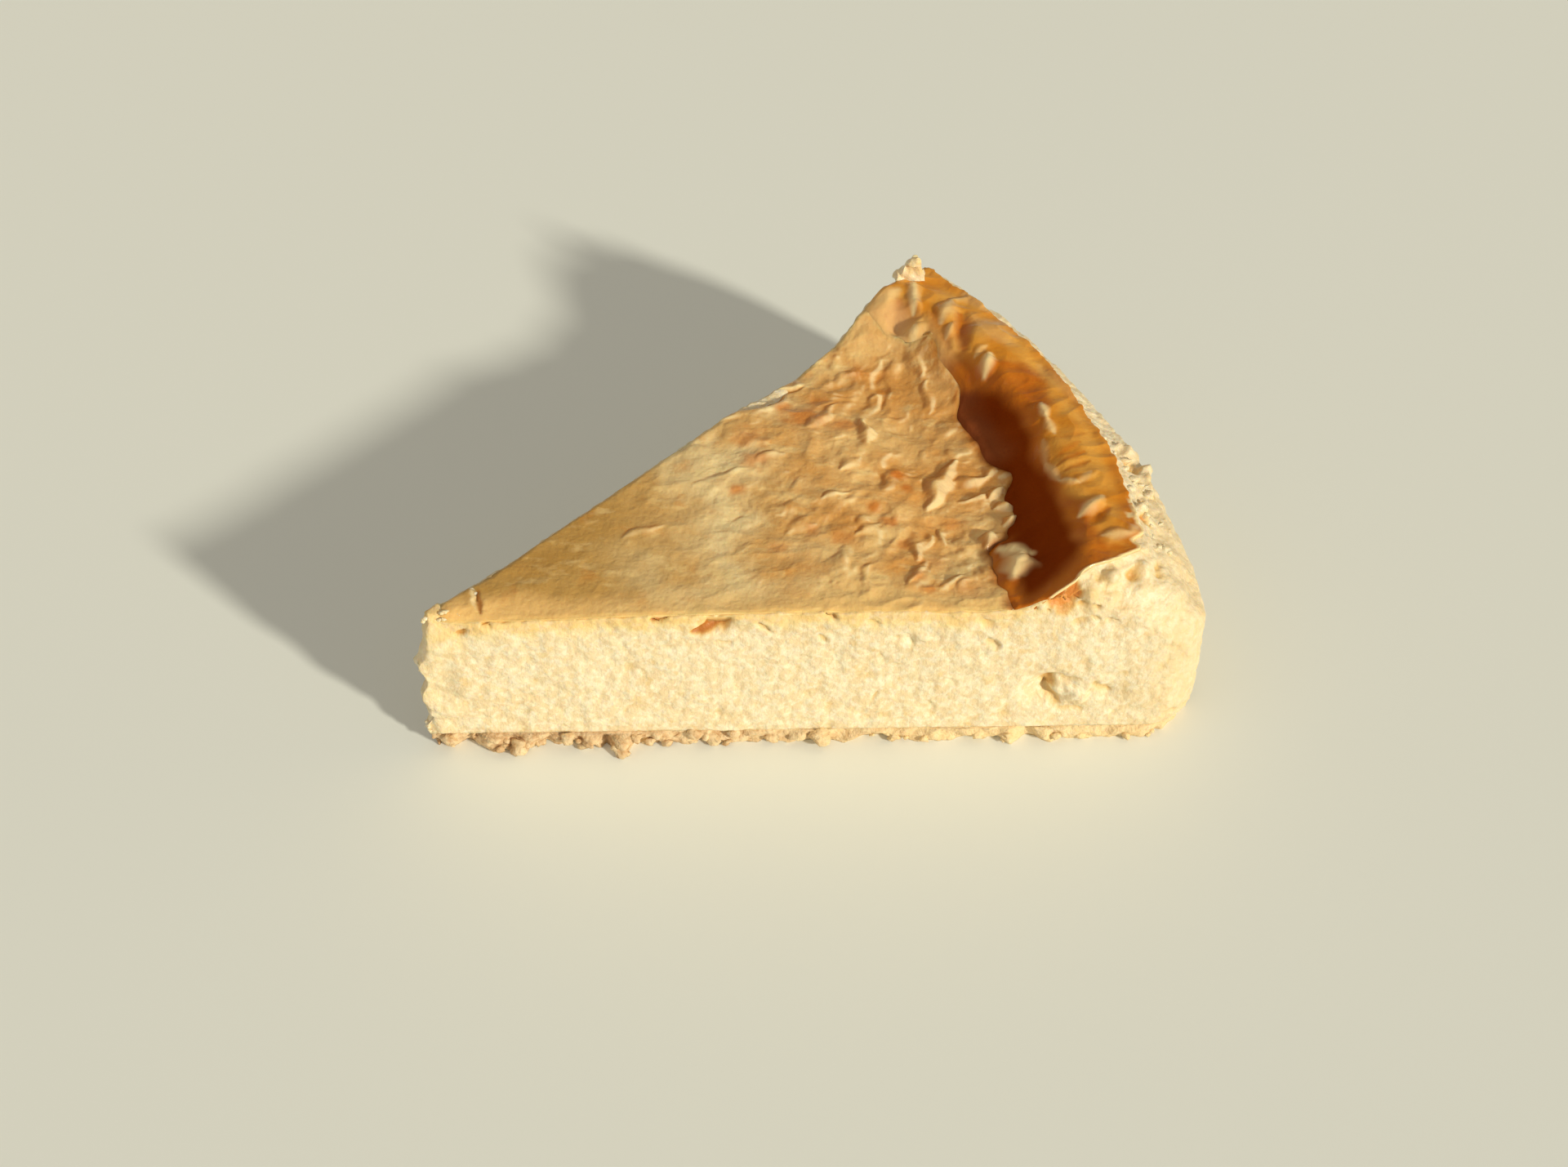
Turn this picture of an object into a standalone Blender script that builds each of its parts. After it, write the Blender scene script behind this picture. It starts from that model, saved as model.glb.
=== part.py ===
"""One-eighth slice of a baked cheesecake on a thin crumb base.

Units are metres and +Z is up. The slice stands on its flat underside at z = 0, its long
cut face looks towards -Y and its point is at the -X end. The origin is the centre of the
slice's bounding box, on the underside. The shape functions work in millimetres, measured
from the cake's own axis, where the point of the slice would be if it were perfectly sharp.
"""

import math

import bmesh
import bpy
from mathutils import Vector, noise

MM = 0.001

# Driving sizes, in millimetres and degrees.
CAKE_RADIUS = 124.8
SLICE_ANGLE = math.radians(45.0)
BASE_THICKNESS = 3.0
LAYER_GAP = 0.3
CENTRE_HEIGHT = 30.4
RIM_RISE = 5.6
WALL_LEAN = 4.6
SHOULDER_RADIUS = 120.4
TIP_BLUNTNESS = 2.0
TIP_DRAG_LOW = 3.2
TIP_DRAG_HIGH = 1.6
FRONT_CORNER_ROUNDING = 9.0
BACK_CORNER_ROUNDING = 3.5

# Where the cake's axis lies in the slice's own frame, which puts the origin at the
# centre of the bounding box.
AXIS_X = -61.1
AXIS_Y = -41.9

# Mesh fineness: cells along each edge of the wedge, and rows up its sides.
FILLING_CELLS = 72
FILLING_ROWS = 12
BASE_CELLS = 84
BASE_ROWS = 3

# The raised rim, as (share of the slice angle, radius): where its inner slope starts,
# where its crest runs and where its skin ends. Share 0 is the front cut, 1 the back cut.
RIM_FOOT = ((0.0, 91.0), (0.2, 95.0), (0.45, 99.5), (0.65, 101.0), (0.85, 99.0), (1.0, 93.0))
RIM_CREST = ((0.0, 103.5), (0.2, 106.5), (0.5, 108.5), (0.8, 109.0), (1.0, 108.0))
SKIN_EDGE = ((0.0, 113.4), (0.12, 113.6), (0.5, 115.6), (0.65, 117.4), (1.0, 118.6))

# The flake of skin on the back corner: its centre and half sizes.
FLAKE_CENTRE = (80.6, 80.0, 36.2)
FLAKE_SIZE = (2.6, 1.2, 2.8)

# The line along which the front corner's skin has broken away.
BREAK_START_X = 97.6
BREAK_SLOPE = 0.56
BREAK_DROP_CORNER = 6.2
BREAK_DROP_RIM = 4.4
BREAK_SOFTNESS = 4.0

# Burrs at the point, as (height, reach, half-height).
BURRS = ((4.4, 1.5, 2.6), (12.4, 1.2, 3.0), (19.2, 1.7, 3.2), (27.0, 0.7, 3.0))

# Knobs of crumb at the foot of the front cut, as (x, reach, half-width).
KNOBS = (
    (8.5, 2.3, 4.0),
    (13.5, 1.9, 3.4),
    (20.0, 1.0, 2.4),
    (24.5, 1.9, 2.8),
    (29.6, 2.8, 2.8),
    (35.5, 1.1, 2.2),
    (93.5, 1.5, 2.6),
    (99.5, 1.1, 2.4),
)

# Hollows torn out of the crumb, as (centre, radius, depth). One holds a chunk.
HOLLOWS = (
    ((98.5, 0.0, 12.5), 5.6, 1.9),
    ((99.8, 0.0, 12.5), 2.8, -1.6),
    ((109.0, 0.0, 11.5), 3.0, 0.7),
    ((45.5, 0.0, 28.0), 3.6, 1.3),
    ((101.6, 1.8, 31.4), 4.2, 1.6),
    ((113.0, 6.5, 29.5), 3.2, 1.3),
)


# Small helpers for blending numbers.


def smooth(low, high, value):
    """0 below low, 1 above high, and a soft step between."""
    share = min(max((value - low) / (high - low), 0.0), 1.0)
    return share * share * (3.0 - 2.0 * share)


def mix(first, second, share):
    return first + (second - first) * share


def bump(centre, half_width, value):
    """1 at the centre, falling smoothly to 0 at half_width on either side."""
    return 1.0 - smooth(0.0, half_width, abs(value - centre))


def follow(points, share):
    """The smooth curve through (share, value) points."""
    for (start, first), (end, second) in zip(points, points[1:]):
        if share <= end:
            return mix(first, second, smooth(start, end, share))
    return points[-1][1]


def grain(x, y, z, size, seed=0.0):
    """Smooth noise from -1 to 1 whose lumps are about size across."""
    return noise.noise(Vector((x / size + seed, y / size - seed, z / size + 2.0 * seed)))


def billow(x, y, size, seed=0.0):
    """Round bumps with creases between them, from -1 to 1."""
    return 1.0 - 4.0 * abs(grain(x, y, 0.0, size, seed))


# The plan of the slice.


def round_corner(from_cut, from_wall, rounding):
    """Moves a point near a square corner so that the corner becomes round."""
    if from_cut >= rounding or from_wall >= rounding:
        return from_cut, from_wall
    a = 1.0 - from_cut / rounding
    b = 1.0 - from_wall / rounding
    return (
        rounding * (1.0 - a * math.sqrt(1.0 - b * b / 2.0)),
        rounding * (1.0 - b * math.sqrt(1.0 - a * a / 2.0)),
    )


def wall_radius(z):
    """The outer wall bulges a little and leans in towards the shoulder."""
    return CAKE_RADIUS - WALL_LEAN * smooth(14.0, 36.0, z) ** 2 - 1.2 * (1.0 - smooth(0.0, 9.0, z))


def plan_point(u, v, wall):
    """(x, y) for u from the point to the wall, and v from 0 to u across the slice."""
    share = v / u if u > 0.0 else 0.5
    blunt = TIP_BLUNTNESS / wall
    radius = wall * (u**2.5 + blunt**2.5 * (1.0 - u)) ** 0.4
    angle = SLICE_ANGLE * share
    from_wall = wall - radius
    if share < 0.5:
        from_cut, from_wall = round_corner(
            radius * math.sin(angle), from_wall, FRONT_CORNER_ROUNDING
        )
        radius = wall - from_wall
        angle = math.asin(from_cut / radius)
    elif share > 0.5:
        from_cut, from_wall = round_corner(
            radius * math.sin(SLICE_ANGLE - angle), from_wall, BACK_CORNER_ROUNDING
        )
        radius = wall - from_wall
        angle = SLICE_ANGLE - math.asin(from_cut / radius)
    return radius * math.cos(angle), radius * math.sin(angle)


def tip_drag(x, y, z):
    """The knife dragged the point outwards, more so towards its foot."""
    radius = math.hypot(x, y)
    drag = mix(TIP_DRAG_LOW, TIP_DRAG_HIGH, smooth(14.0, 30.0, z)) * (1.0 - smooth(0.0, 17.0, radius))
    for height, reach, half in BURRS:
        drag += reach * bump(height, half, z) * (1.0 - smooth(1.0, 5.0, radius))
    return drag


# The top of the slice.


def skin_margin(x, y):
    """How far a point lies inside the browned skin's edge; below 0 the skin is gone."""
    share = min(max(math.atan2(y, x) / SLICE_ANGLE, 0.0), 1.0)
    at_rim = follow(SKIN_EDGE, share) - math.hypot(x, y) + 0.7 * grain(x, y, 0.0, 6.0, 3.1)
    broken = (y - (x - BREAK_START_X) * BREAK_SLOPE) / math.hypot(1.0, BREAK_SLOPE)
    return min(at_rim, broken + 0.9 * grain(x, y, 0.0, 5.0, 7.7))


def top_form(x, y):
    """The baked form of the top: level middle, sunken ring and raised rim."""
    radius = math.hypot(x, y)
    share = min(max(math.atan2(y, x) / SLICE_ANGLE, 0.0), 1.0)
    foot = follow(RIM_FOOT, share)
    crest = follow(RIM_CREST, share)
    height = CENTRE_HEIGHT - 0.9 * (1.0 - smooth(0.0, 0.5, share)) * bump(8.0, 30.0, radius)
    height += 0.6 * smooth(30.0, 70.0, radius) * (1.0 - smooth(0.0, 0.4, share))
    height -= mix(0.2, 1.7, smooth(0.0, 0.3, share)) * bump(foot - 9.0, 19.0, radius)
    height += RIM_RISE * smooth(foot, crest, radius)
    height -= 1.7 * smooth(crest + 1.0, SHOULDER_RADIUS, radius)
    height += 0.7 * smooth(foot, crest, radius) * grain(x, y, 0.0, 17.0, 1.3)
    return height


def top_height(x, y):
    """The height of the top, with its wrinkles, its folded rim and its broken corner."""
    radius = math.hypot(x, y)
    share = min(max(math.atan2(y, x) / SLICE_ANGLE, 0.0), 1.0)
    foot = follow(RIM_FOOT, share)
    height = top_form(x, y)
    on_rim = smooth(foot - 2.0, foot + 2.0, radius)
    warp_x = x + 2.5 * grain(x, y, 0.0, 9.0, 4.4)
    warp_y = y + 2.5 * grain(x, y, 0.0, 9.0, 5.9)
    wrinkle = 0.4 * billow(warp_x * 0.8, warp_y * 1.25, 6.2, 0.4)
    wrinkle += 0.16 * billow(warp_x, warp_y, 3.4, 2.2)
    height += wrinkle * mix(0.15, 1.0, smooth(20.0, 85.0, radius)) * (1.0 - on_rim)
    around = radius * math.atan2(y, x)
    fold = 0.55 * billow(around, radius * 0.3, 7.0, 6.1) + 0.2 * grain(around, radius * 0.4, 0.0, 3.6, 8.2)
    height += fold * on_rim * bump(105.0, 13.0, radius)
    margin = skin_margin(x, y)
    if margin < 0.0:
        crumble = 1.0 - math.exp(margin / BREAK_SOFTNESS)
        height -= mix(BREAK_DROP_CORNER, BREAK_DROP_RIM, smooth(0.1, 0.35, share)) * crumble
        height += 1.5 * crumble * grain(x, y, 0.0, 4.4, 9.3)
    return height - hollow_depth(x, y, height)


# The sides of the slice.


def hollow_depth(x, y, z):
    """How deep the torn hollows are at a point of the surface."""
    depth = 0.0
    for centre, radius, deepest in HOLLOWS:
        depth += deepest * (1.0 - smooth(0.0, radius, math.dist((x, y, z), centre)))
    return depth


def side_relief(x, y, z):
    """How far the crumbly cut faces and the wall stand out from their plain surface."""
    relief = 0.35 * grain(x, y, z, 14.0, 1.9) + 0.3 * grain(x, y, z, 4.6, 5.3)
    relief += 1.1 * (1.0 - smooth(3.0, 9.0, math.hypot(x, y))) * grain(x, y, z, 5.0, 3.7)
    return relief - hollow_depth(x, y, z)


def base_relief(x, y, z):
    """How far the ragged foot of the slice stands out from its plain edge."""
    relief = 0.5 * billow(x + 0.4 * y, 0.9 * y + 1.7 * z, 6.0, 6.6)
    relief += 0.35 * grain(x, y, z, 10.0, 2.9)
    for centre, reach, half in KNOBS:
        relief += reach * bump(centre, half, x) * (1.0 - smooth(0.0, 2.0, abs(y)))
    return relief


# Making the solids.


def wedge_grid(cells, rows):
    """A bmesh prism on the triangle (0,0) (1,0) (1,1), cut into a grid on every side.

    Its underside is one flat face. A vertex's x is its share of the way from the point to
    the wall, its y runs from 0 to x across the slice, and its z is its share of the height.
    """
    bm = bmesh.new()
    corners = ((0.0, 0.0), (1.0, 0.0), (1.0, 1.0))
    low = [bm.verts.new((x, y, 0.0)) for x, y in corners]
    high = [bm.verts.new((x, y, 1.0)) for x, y in corners]
    bm.faces.new(high)
    for i in range(3):
        j = (i + 1) % 3
        bm.faces.new((low[i], low[j], high[j], high[i]))
    upright = [e for e in bm.edges if abs(e.verts[0].co.z - e.verts[1].co.z) > 0.5]
    bmesh.ops.subdivide_edges(bm, edges=upright, cuts=rows - 1, use_grid_fill=True)
    level = [e for e in bm.edges if abs(e.verts[0].co.z - e.verts[1].co.z) < 1e-6]
    bmesh.ops.subdivide_edges(bm, edges=level, cuts=cells - 1, use_grid_fill=True)
    bmesh.ops.holes_fill(bm, edges=[e for e in bm.edges if e.is_boundary], sides=0)
    bmesh.ops.recalc_face_normals(bm, faces=bm.faces)
    return bm


def flake_form():
    """The torn flake of skin that stands up on the back corner."""
    bm = bmesh.new()
    bmesh.ops.create_icosphere(bm, subdivisions=2, radius=1.0)
    for vert in bm.verts:
        ragged = 1.0 + 0.45 * grain(*vert.co, 0.9, 2.0)
        offset = [vert.co[i] * FLAKE_SIZE[i] * ragged for i in range(3)]
        offset[0] += 0.35 * offset[2]
        vert.co = [FLAKE_CENTRE[i] + offset[i] for i in range(3)]
    return bm


def finish_object(name, bm, material):
    """Turns a bmesh in millimetres round the cake's axis into an object in metres."""
    bmesh.ops.translate(bm, verts=bm.verts, vec=(AXIS_X, AXIS_Y, 0.0))
    bmesh.ops.scale(bm, verts=bm.verts, vec=(MM, MM, MM))
    mesh = bpy.data.meshes.new(name)
    bm.to_mesh(mesh)
    bm.free()
    mesh.materials.append(material)
    mesh.shade_smooth()
    obj = bpy.data.objects.new(name, mesh)
    bpy.context.scene.collection.objects.link(obj)
    return obj


def fuse(body, extra):
    """Joins another solid to the body with one Boolean union, applied."""
    union = body.modifiers.new("join", "BOOLEAN")
    union.operation = "UNION"
    union.object = extra
    union.solver = "EXACT"
    graph = bpy.context.evaluated_depsgraph_get()
    joined = bpy.data.meshes.new_from_object(body.evaluated_get(graph))
    body.modifiers.clear()
    body.data = joined
    bpy.data.objects.remove(extra)


def surface_material(name, colour, roughness):
    material = bpy.data.materials.new(name)
    material.use_nodes = True
    shader = material.node_tree.nodes["Principled BSDF"]
    shader.inputs["Base Color"].default_value = (*colour, 1.0)
    shader.inputs["Roughness"].default_value = roughness
    shader.inputs["Metallic"].default_value = 0.0
    return material


# The filling, with the browned top as relief.


def make_filling(material):
    floor = BASE_THICKNESS + LAYER_GAP
    bm = wedge_grid(FILLING_CELLS, FILLING_ROWS)
    on_top = {}
    for vert in bm.verts:
        u, v, w = vert.co
        x, y = plan_point(u, v, SHOULDER_RADIUS)
        top = top_height(x, y)
        z = mix(floor, top, w)
        if w < 1.0:
            reach = mix(wall_radius(z), SHOULDER_RADIUS, smooth(0.8, 1.0, w))
            x, y = plan_point(u, v, reach)
        on_top[vert] = w == 1.0 and 0.0 < v < u < 1.0
        vert.co = (x - tip_drag(x, y, z), y, z)
    bm.normal_update()
    moves = []
    for vert in bm.verts:
        if on_top[vert] or vert.co.z < floor + 0.01:
            continue
        sideways = Vector((vert.normal.x, vert.normal.y, 0.0))
        moves.append((vert, sideways.normalized() * side_relief(*vert.co)))
    for vert, move in moves:
        vert.co += move
    filling = finish_object("filling", bm, material)
    fuse(filling, finish_object("flake", flake_form(), material))
    return filling


# The base, a thin layer of pressed crumbs with a ragged edge.


def make_base(material):
    bm = wedge_grid(BASE_CELLS, BASE_ROWS)
    inner = [v for v in bm.verts if v.co.z == 1.0 and 0.0 < v.co.y < v.co.x < 1.0]
    bmesh.ops.dissolve_verts(bm, verts=inner)
    for vert in bm.verts:
        u, v, w = vert.co
        z = BASE_THICKNESS * w
        x, y = plan_point(u, v, wall_radius(z) - 0.8)
        vert.co = (x - tip_drag(x, y, z), y, z)
    bm.normal_update()
    moves = []
    for vert in bm.verts:
        sideways = Vector((vert.normal.x, vert.normal.y, 0.0)).normalized()
        moves.append((vert, sideways * base_relief(*vert.co)))
    for vert, move in moves:
        vert.co += move
    return finish_object("base_crust", bm, material)


def clear_scene():
    for obj in list(bpy.data.objects):
        bpy.data.objects.remove(obj, do_unlink=True)


def main():
    clear_scene()
    cream = surface_material("baked_filling", (0.86, 0.68, 0.38), 0.55)
    crust = surface_material("crumb_base", (0.74, 0.55, 0.34), 0.85)
    make_filling(cream)
    make_base(crust)


main()
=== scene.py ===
"""The looks of the cheesecake slice: crumbly filling, browned skin and crumb base.

The shape functions work in millimetres, measured from the cake's own axis, as the part's
source does. Each finished piece is turned into metres in the part's frame.
"""

import math
import random

import bmesh
import bpy
from mathutils import Matrix, Quaternion, Vector, noise


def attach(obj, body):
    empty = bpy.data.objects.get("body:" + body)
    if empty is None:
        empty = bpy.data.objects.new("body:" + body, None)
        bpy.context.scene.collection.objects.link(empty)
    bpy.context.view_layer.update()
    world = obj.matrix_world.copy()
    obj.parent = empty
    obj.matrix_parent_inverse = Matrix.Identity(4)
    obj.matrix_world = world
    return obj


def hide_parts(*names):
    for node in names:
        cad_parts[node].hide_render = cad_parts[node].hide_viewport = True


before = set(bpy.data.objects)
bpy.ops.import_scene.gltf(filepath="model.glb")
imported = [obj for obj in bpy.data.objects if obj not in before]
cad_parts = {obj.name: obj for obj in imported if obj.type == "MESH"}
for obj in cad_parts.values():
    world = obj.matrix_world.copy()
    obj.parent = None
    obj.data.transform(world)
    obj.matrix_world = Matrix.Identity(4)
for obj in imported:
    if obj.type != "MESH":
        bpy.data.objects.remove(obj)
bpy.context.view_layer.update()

MM = 0.001

# The slice, as in the part's source, in millimetres.
CAKE_RADIUS = 124.8
SLICE_ANGLE = math.radians(45.0)
BASE_THICKNESS = 3.0
LAYER_GAP = 0.3
FILLING_FLOOR = BASE_THICKNESS + LAYER_GAP
CENTRE_HEIGHT = 30.4
RIM_RISE = 5.6
WALL_LEAN = 4.6
SHOULDER_RADIUS = 120.4
TIP_BLUNTNESS = 2.0
TIP_DRAG_LOW = 3.2
TIP_DRAG_HIGH = 1.6
FRONT_CORNER_ROUNDING = 9.0
BACK_CORNER_ROUNDING = 3.5

# Where the cake's axis lies in the slice's own frame.
AXIS_X = -61.1
AXIS_Y = -41.9

# The raised rim, as (share of the slice angle, radius): where its inner slope starts,
# where its crest runs and where its skin ends. Share 0 is the front cut, 1 the back cut.
RIM_FOOT = ((0.0, 91.0), (0.2, 95.0), (0.45, 99.5), (0.65, 101.0), (0.85, 99.0), (1.0, 93.0))
RIM_CREST = ((0.0, 103.5), (0.2, 106.5), (0.5, 108.5), (0.8, 109.0), (1.0, 108.0))
SKIN_EDGE = ((0.0, 113.4), (0.12, 113.6), (0.5, 115.6), (0.65, 117.4), (1.0, 118.6))

# The line along which the front corner's skin has broken away.
BREAK_START_X = 97.6
BREAK_SLOPE = 0.56
BREAK_DROP_CORNER = 6.2
BREAK_DROP_RIM = 4.4
BREAK_SOFTNESS = 4.0

# Burrs at the point, as (height, reach, half height), and knobs of crumb at the foot of
# the front cut, as (x, reach, half width).
BURRS = ((4.4, 1.5, 2.6), (12.4, 1.2, 3.0), (19.2, 1.7, 3.2), (27.0, 0.7, 3.0))
KNOBS = (
    (8.5, 2.3, 4.0),
    (13.5, 1.9, 3.4),
    (20.0, 1.0, 2.4),
    (24.5, 1.9, 2.8),
    (29.6, 2.8, 2.8),
    (35.5, 1.1, 2.2),
    (93.5, 1.5, 2.6),
    (99.5, 1.1, 2.4),
)

# Hollows torn out of the crumb, as (centre, radius, depth). One holds a chunk.
HOLLOWS = (
    ((98.5, 0.0, 12.5), 5.6, 1.9),
    ((99.8, 0.0, 12.5), 2.8, -1.6),
    ((109.0, 0.0, 11.5), 3.0, 0.7),
    ((45.5, 0.0, 28.0), 3.6, 1.3),
    ((101.6, 1.8, 31.4), 4.2, 1.6),
    ((113.0, 6.5, 29.5), 3.2, 1.3),
)

# Where the dry skin ends and the glossy rim begins, as (share of the slice angle, radius).
PARCHMENT_EDGE = (
    (0.0, 92.5), (0.1, 91.8), (0.2, 91.0), (0.25, 95.4), (0.32, 98.6), (0.36, 98.4),
    (0.42, 101.4), (0.49, 99.6), (0.56, 100.0), (0.63, 100.2), (0.71, 104.4), (0.78, 104.2),
    (0.84, 105.6), (0.88, 102.6), (0.93, 101.4), (1.0, 102.6),
)

# The sunken ring is dark brown from scorched skin and from the rim's painted shadow.
# Where the dark brown of the sunken ring ends, and the amber round it, as
# (share of the slice angle, radius).
DARK_EDGE = (
    (0.0, 96.6), (0.035, 100.1), (0.08, 102.4), (0.19, 102.6), (0.3, 103.1), (0.41, 103.8),
    (0.5, 105.1), (0.6, 105.8), (0.65, 104.6), (0.72, 101.0), (1.0, 98.0),
)
AMBER_EDGE = (
    (0.0, 99.0), (0.03, 103.0), (0.07, 108.0), (0.12, 106.4), (0.23, 106.3), (0.29, 104.7),
    (0.36, 104.2), (0.41, 105.3), (0.47, 107.0), (0.53, 110.8), (0.59, 114.4), (0.64, 113.2),
    (0.7, 106.5), (0.79, 105.0), (0.86, 101.0), (0.9, 96.0), (1.0, 95.0),
)

# The skin: its thickness, how deep it is bedded in the filling, and how far from the
# cuts and the point it starts to show.
SKIN_THICKNESS = 0.5
SKIN_BEDDING = 1.5
SKIN_INSET = 0.55
SKIN_START_RADIUS = 4.8

# The sheets of skin reach on under the crumb, to this distance from the cuts and by this
# much at the point, and the glossy one reaches in under the dry one.
SHEET_INSET = 0.15
POINT_OVERLAP = 1.5
RIM_OVERLAP = 3.0

# The dry skin's hidden underside: how far it is set in, and its level.
SKIN_UNDERCUT = 1.6
SKIN_FLOOR = 27.2

# The ragged edges' length round the slice, from the front cut to the back cut.
PARCHMENT_EDGE_LENGTH = 78.0
TORN_EDGE_LENGTH = 94.0

# How much the edges round the torn corner are worn down, how far in from them, and the
# radius where the skin ends there at the latest.
CORNER_WEAR = 1.6
CORNER_WEAR_REACH = 3.2
CORNER_SKIN_END = 111.6

# How far the crumb base is set in from the wall above it.
BASE_INSET = 0.8

# The way to the light in plan, and the step over which a slope towards it is measured;
# slopes that turn from it get painted shade, and slopes that turn to it a painted highlight.
LIT_SIDE = (0.74, -0.67)
SLOPE_STEP = 0.4

# Ridges in the dry skin, as (x, y, x, y, half width, height). A height below 0 is a groove.
RIDGES = (
    (85.8, 36.4, 79.8, 25.4, 2.0, 1.25),
    (85.4, 31.4, 90.2, 32.2, 1.2, 0.8),
    (90.2, 32.4, 92.2, 35.4, 1.2, 0.8),
    (90.4, 27.4, 93.2, 29.6, 1.3, 0.8),
    (86.2, 27.4, 90.0, 29.0, 1.1, 0.6),
    (63.0, 26.4, 66.6, 27.8, 1.1, 0.55),
    (77.4, 18.6, 76.8, 12.4, 1.4, 0.8),
    (81.2, 19.6, 82.6, 15.6, 1.0, 0.5),
    (80.2, 4.6, 84.0, 8.8, 1.1, 0.5),
    (76.0, 6.6, 78.4, 9.8, 1.0, 0.45),
    (70.6, 46.6, 71.4, 40.0, 1.5, 0.85),
    (88.6, 15.2, 90.0, 18.4, 1.3, 1.2),
    (91.6, 21.0, 94.4, 23.2, 1.3, 1.2),
    (91.0, 24.6, 93.6, 26.0, 1.0, 0.8),
    (90.4, 48.2, 90.7, 44.0, 0.8, 1.1),
    (88.0, 53.6, 88.6, 47.8, 1.2, 0.5),
    (48.4, 48.4, 60.4, 56.6, 1.3, -0.8),
    (47.0, 46.0, 58.0, 52.8, 1.6, 0.5),
    (74.6, 62.6, 74.2, 50.6, 1.0, -0.55),
    (79.6, 63.8, 81.4, 58.0, 1.3, 0.7),
    (82.6, 56.4, 82.2, 49.4, 1.1, 0.5),
    (60.6, 44.2, 66.4, 50.4, 1.5, 0.45),
    (42.0, 29.6, 50.4, 33.4, 1.3, 0.3),
    (30.4, 17.6, 36.4, 20.2, 1.3, 0.3),
    (52.6, 35.6, 57.4, 37.8, 1.2, 0.4),
    (66.2, 33.4, 69.8, 36.8, 1.1, 0.5),
    (67.6, 16.8, 71.6, 20.6, 1.2, 0.45),
    (56.4, 18.4, 61.6, 20.8, 1.2, 0.35),
    (6.2, 7.2, 8.6, 3.8, 0.7, -0.6),
    (8.0, 4.6, 9.6, 1.4, 0.8, -0.7),
)

# Orange-brown spots in the dry skin, as (x, y, radius, strength).
SPOTS = (
    (75.3, 32.8, 1.7, 1.0),
    (76.6, 29.8, 1.3, 0.9),
    (70.9, 24.5, 1.5, 0.9),
    (73.5, 21.3, 1.6, 0.8),
    (75.2, 16.1, 1.5, 0.7),
    (60.9, 47.5, 4.4, 0.8),
    (51.6, 36.1, 2.8, 0.65),
    (50.7, 41.7, 3.2, 0.6),
    (67.5, 45.7, 2.4, 0.7),
    (57.2, 49.8, 2.2, 0.8),
    (62.9, 52.2, 2.2, 0.6),
    (48.7, 28.5, 1.5, 0.7),
    (54.9, 14.5, 1.4, 0.5),
    (60.8, 18.6, 1.7, 0.55),
    (65.3, 16.8, 2.0, 0.55),
    (76.7, 7.7, 1.8, 0.7),
    (78.6, 5.0, 1.3, 0.6),
    (74.6, 55.4, 1.5, 0.6),
    (80.0, 12.0, 2.4, 0.4),
    (84.6, 5.0, 2.6, 0.4),
    (70.0, 60.0, 2.6, 0.5),
    (84.0, 22.0, 2.0, 0.5),
)

# Folds of the glossy rim, as (x, y, x, y, half width, height, paleness). A height below
# 0 is a groove, and a paleness below 0 is amber. The paleness is pale skin on the ridges with a
# painted highlight.
FOLDS = (
    (81.2, 77.6, 80.7, 69.4, 1.2, 1.1, 1.0),
    (80.6, 66.8, 80.4, 64.2, 1.4, 1.2, 0.95),
    (73.6, 71.0, 78.2, 74.8, 2.2, 0.7, 0.6),
    (78.3, 72.2, 77.7, 66.4, 2.2, -1.3, -1.0),
    (75.8, 70.0, 77.6, 68.0, 1.0, -0.6, -0.8),
    (84.0, 68.6, 86.2, 60.4, 1.3, -0.5, -0.6),
    (85.2, 65.9, 87.6, 72.8, 1.3, 0.9, 0.65),
    (87.6, 73.2, 90.2, 74.2, 1.2, 0.7, 0.45),
    (86.9, 65.2, 85.8, 62.2, 0.9, 0.8, 0.55),
    (88.9, 68.4, 88.7, 59.2, 1.6, -1.1, -1.0),
    (88.6, 58.6, 86.6, 57.8, 1.4, -0.3, -0.6),
    (91.4, 67.0, 96.6, 60.4, 4.2, 0.8, 0.2),
    (93.0, 56.6, 91.7, 52.8, 1.4, 1.9, 1.0),
    (90.4, 57.0, 92.4, 58.6, 0.8, 0.7, 0.4),
    (97.4, 51.6, 99.2, 45.0, 2.6, -1.0, -0.5),
    (100.2, 43.6, 100.6, 39.6, 1.0, 0.9, 0.9),
    (100.6, 39.6, 101.6, 36.0, 1.0, 0.9, 0.6),
    (99.7, 35.4, 99.6, 30.4, 0.8, 0.7, 0.3),
    (99.6, 30.4, 101.2, 25.2, 0.8, 0.9, 0.45),
    (101.2, 25.2, 104.2, 23.6, 0.8, 0.9, 0.55),
    (104.2, 23.6, 106.4, 26.2, 0.8, 0.6, 0.4),
    (101.4, 30.6, 105.6, 33.8, 0.55, -0.3, -0.5),
    (101.2, 28.7, 106.0, 31.3, 0.55, -0.35, -0.7),
    (102.2, 27.0, 106.6, 29.0, 0.55, -0.35, -0.7),
    (102.6, 34.8, 107.0, 36.2, 0.7, -0.25, -0.35),
    (103.2, 16.0, 107.4, 20.1, 1.2, 1.3, 0.8),
    (104.2, 13.8, 108.0, 17.6, 1.2, -0.8, -0.7),
    (106.2, 10.6, 110.8, 11.4, 1.2, 0.8, 0.55),
    (110.8, 11.4, 112.4, 13.6, 1.1, 0.6, 0.5),
    (104.6, 7.4, 110.6, 8.6, 1.0, -0.4, -0.8),
    (110.6, 8.6, 112.4, 11.2, 0.9, -0.3, -0.7),
    (111.8, 19.4, 112.4, 20.2, 0.8, -0.3, 1.0),
    (111.0, 15.4, 111.7, 16.4, 1.0, -0.3, 1.0),
    (90.8, 14.2, 95.2, 12.2, 2.5, 1.8, 1.0),
    (93.9, 12.0, 92.1, 7.2, 2.6, 2.0, 1.0),
    (106.6, 45.2, 101.4, 55.2, 1.8, 0.4, 0.15),
    (94.0, 70.4, 90.2, 75.6, 1.8, 0.5, 0.3),
)

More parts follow.
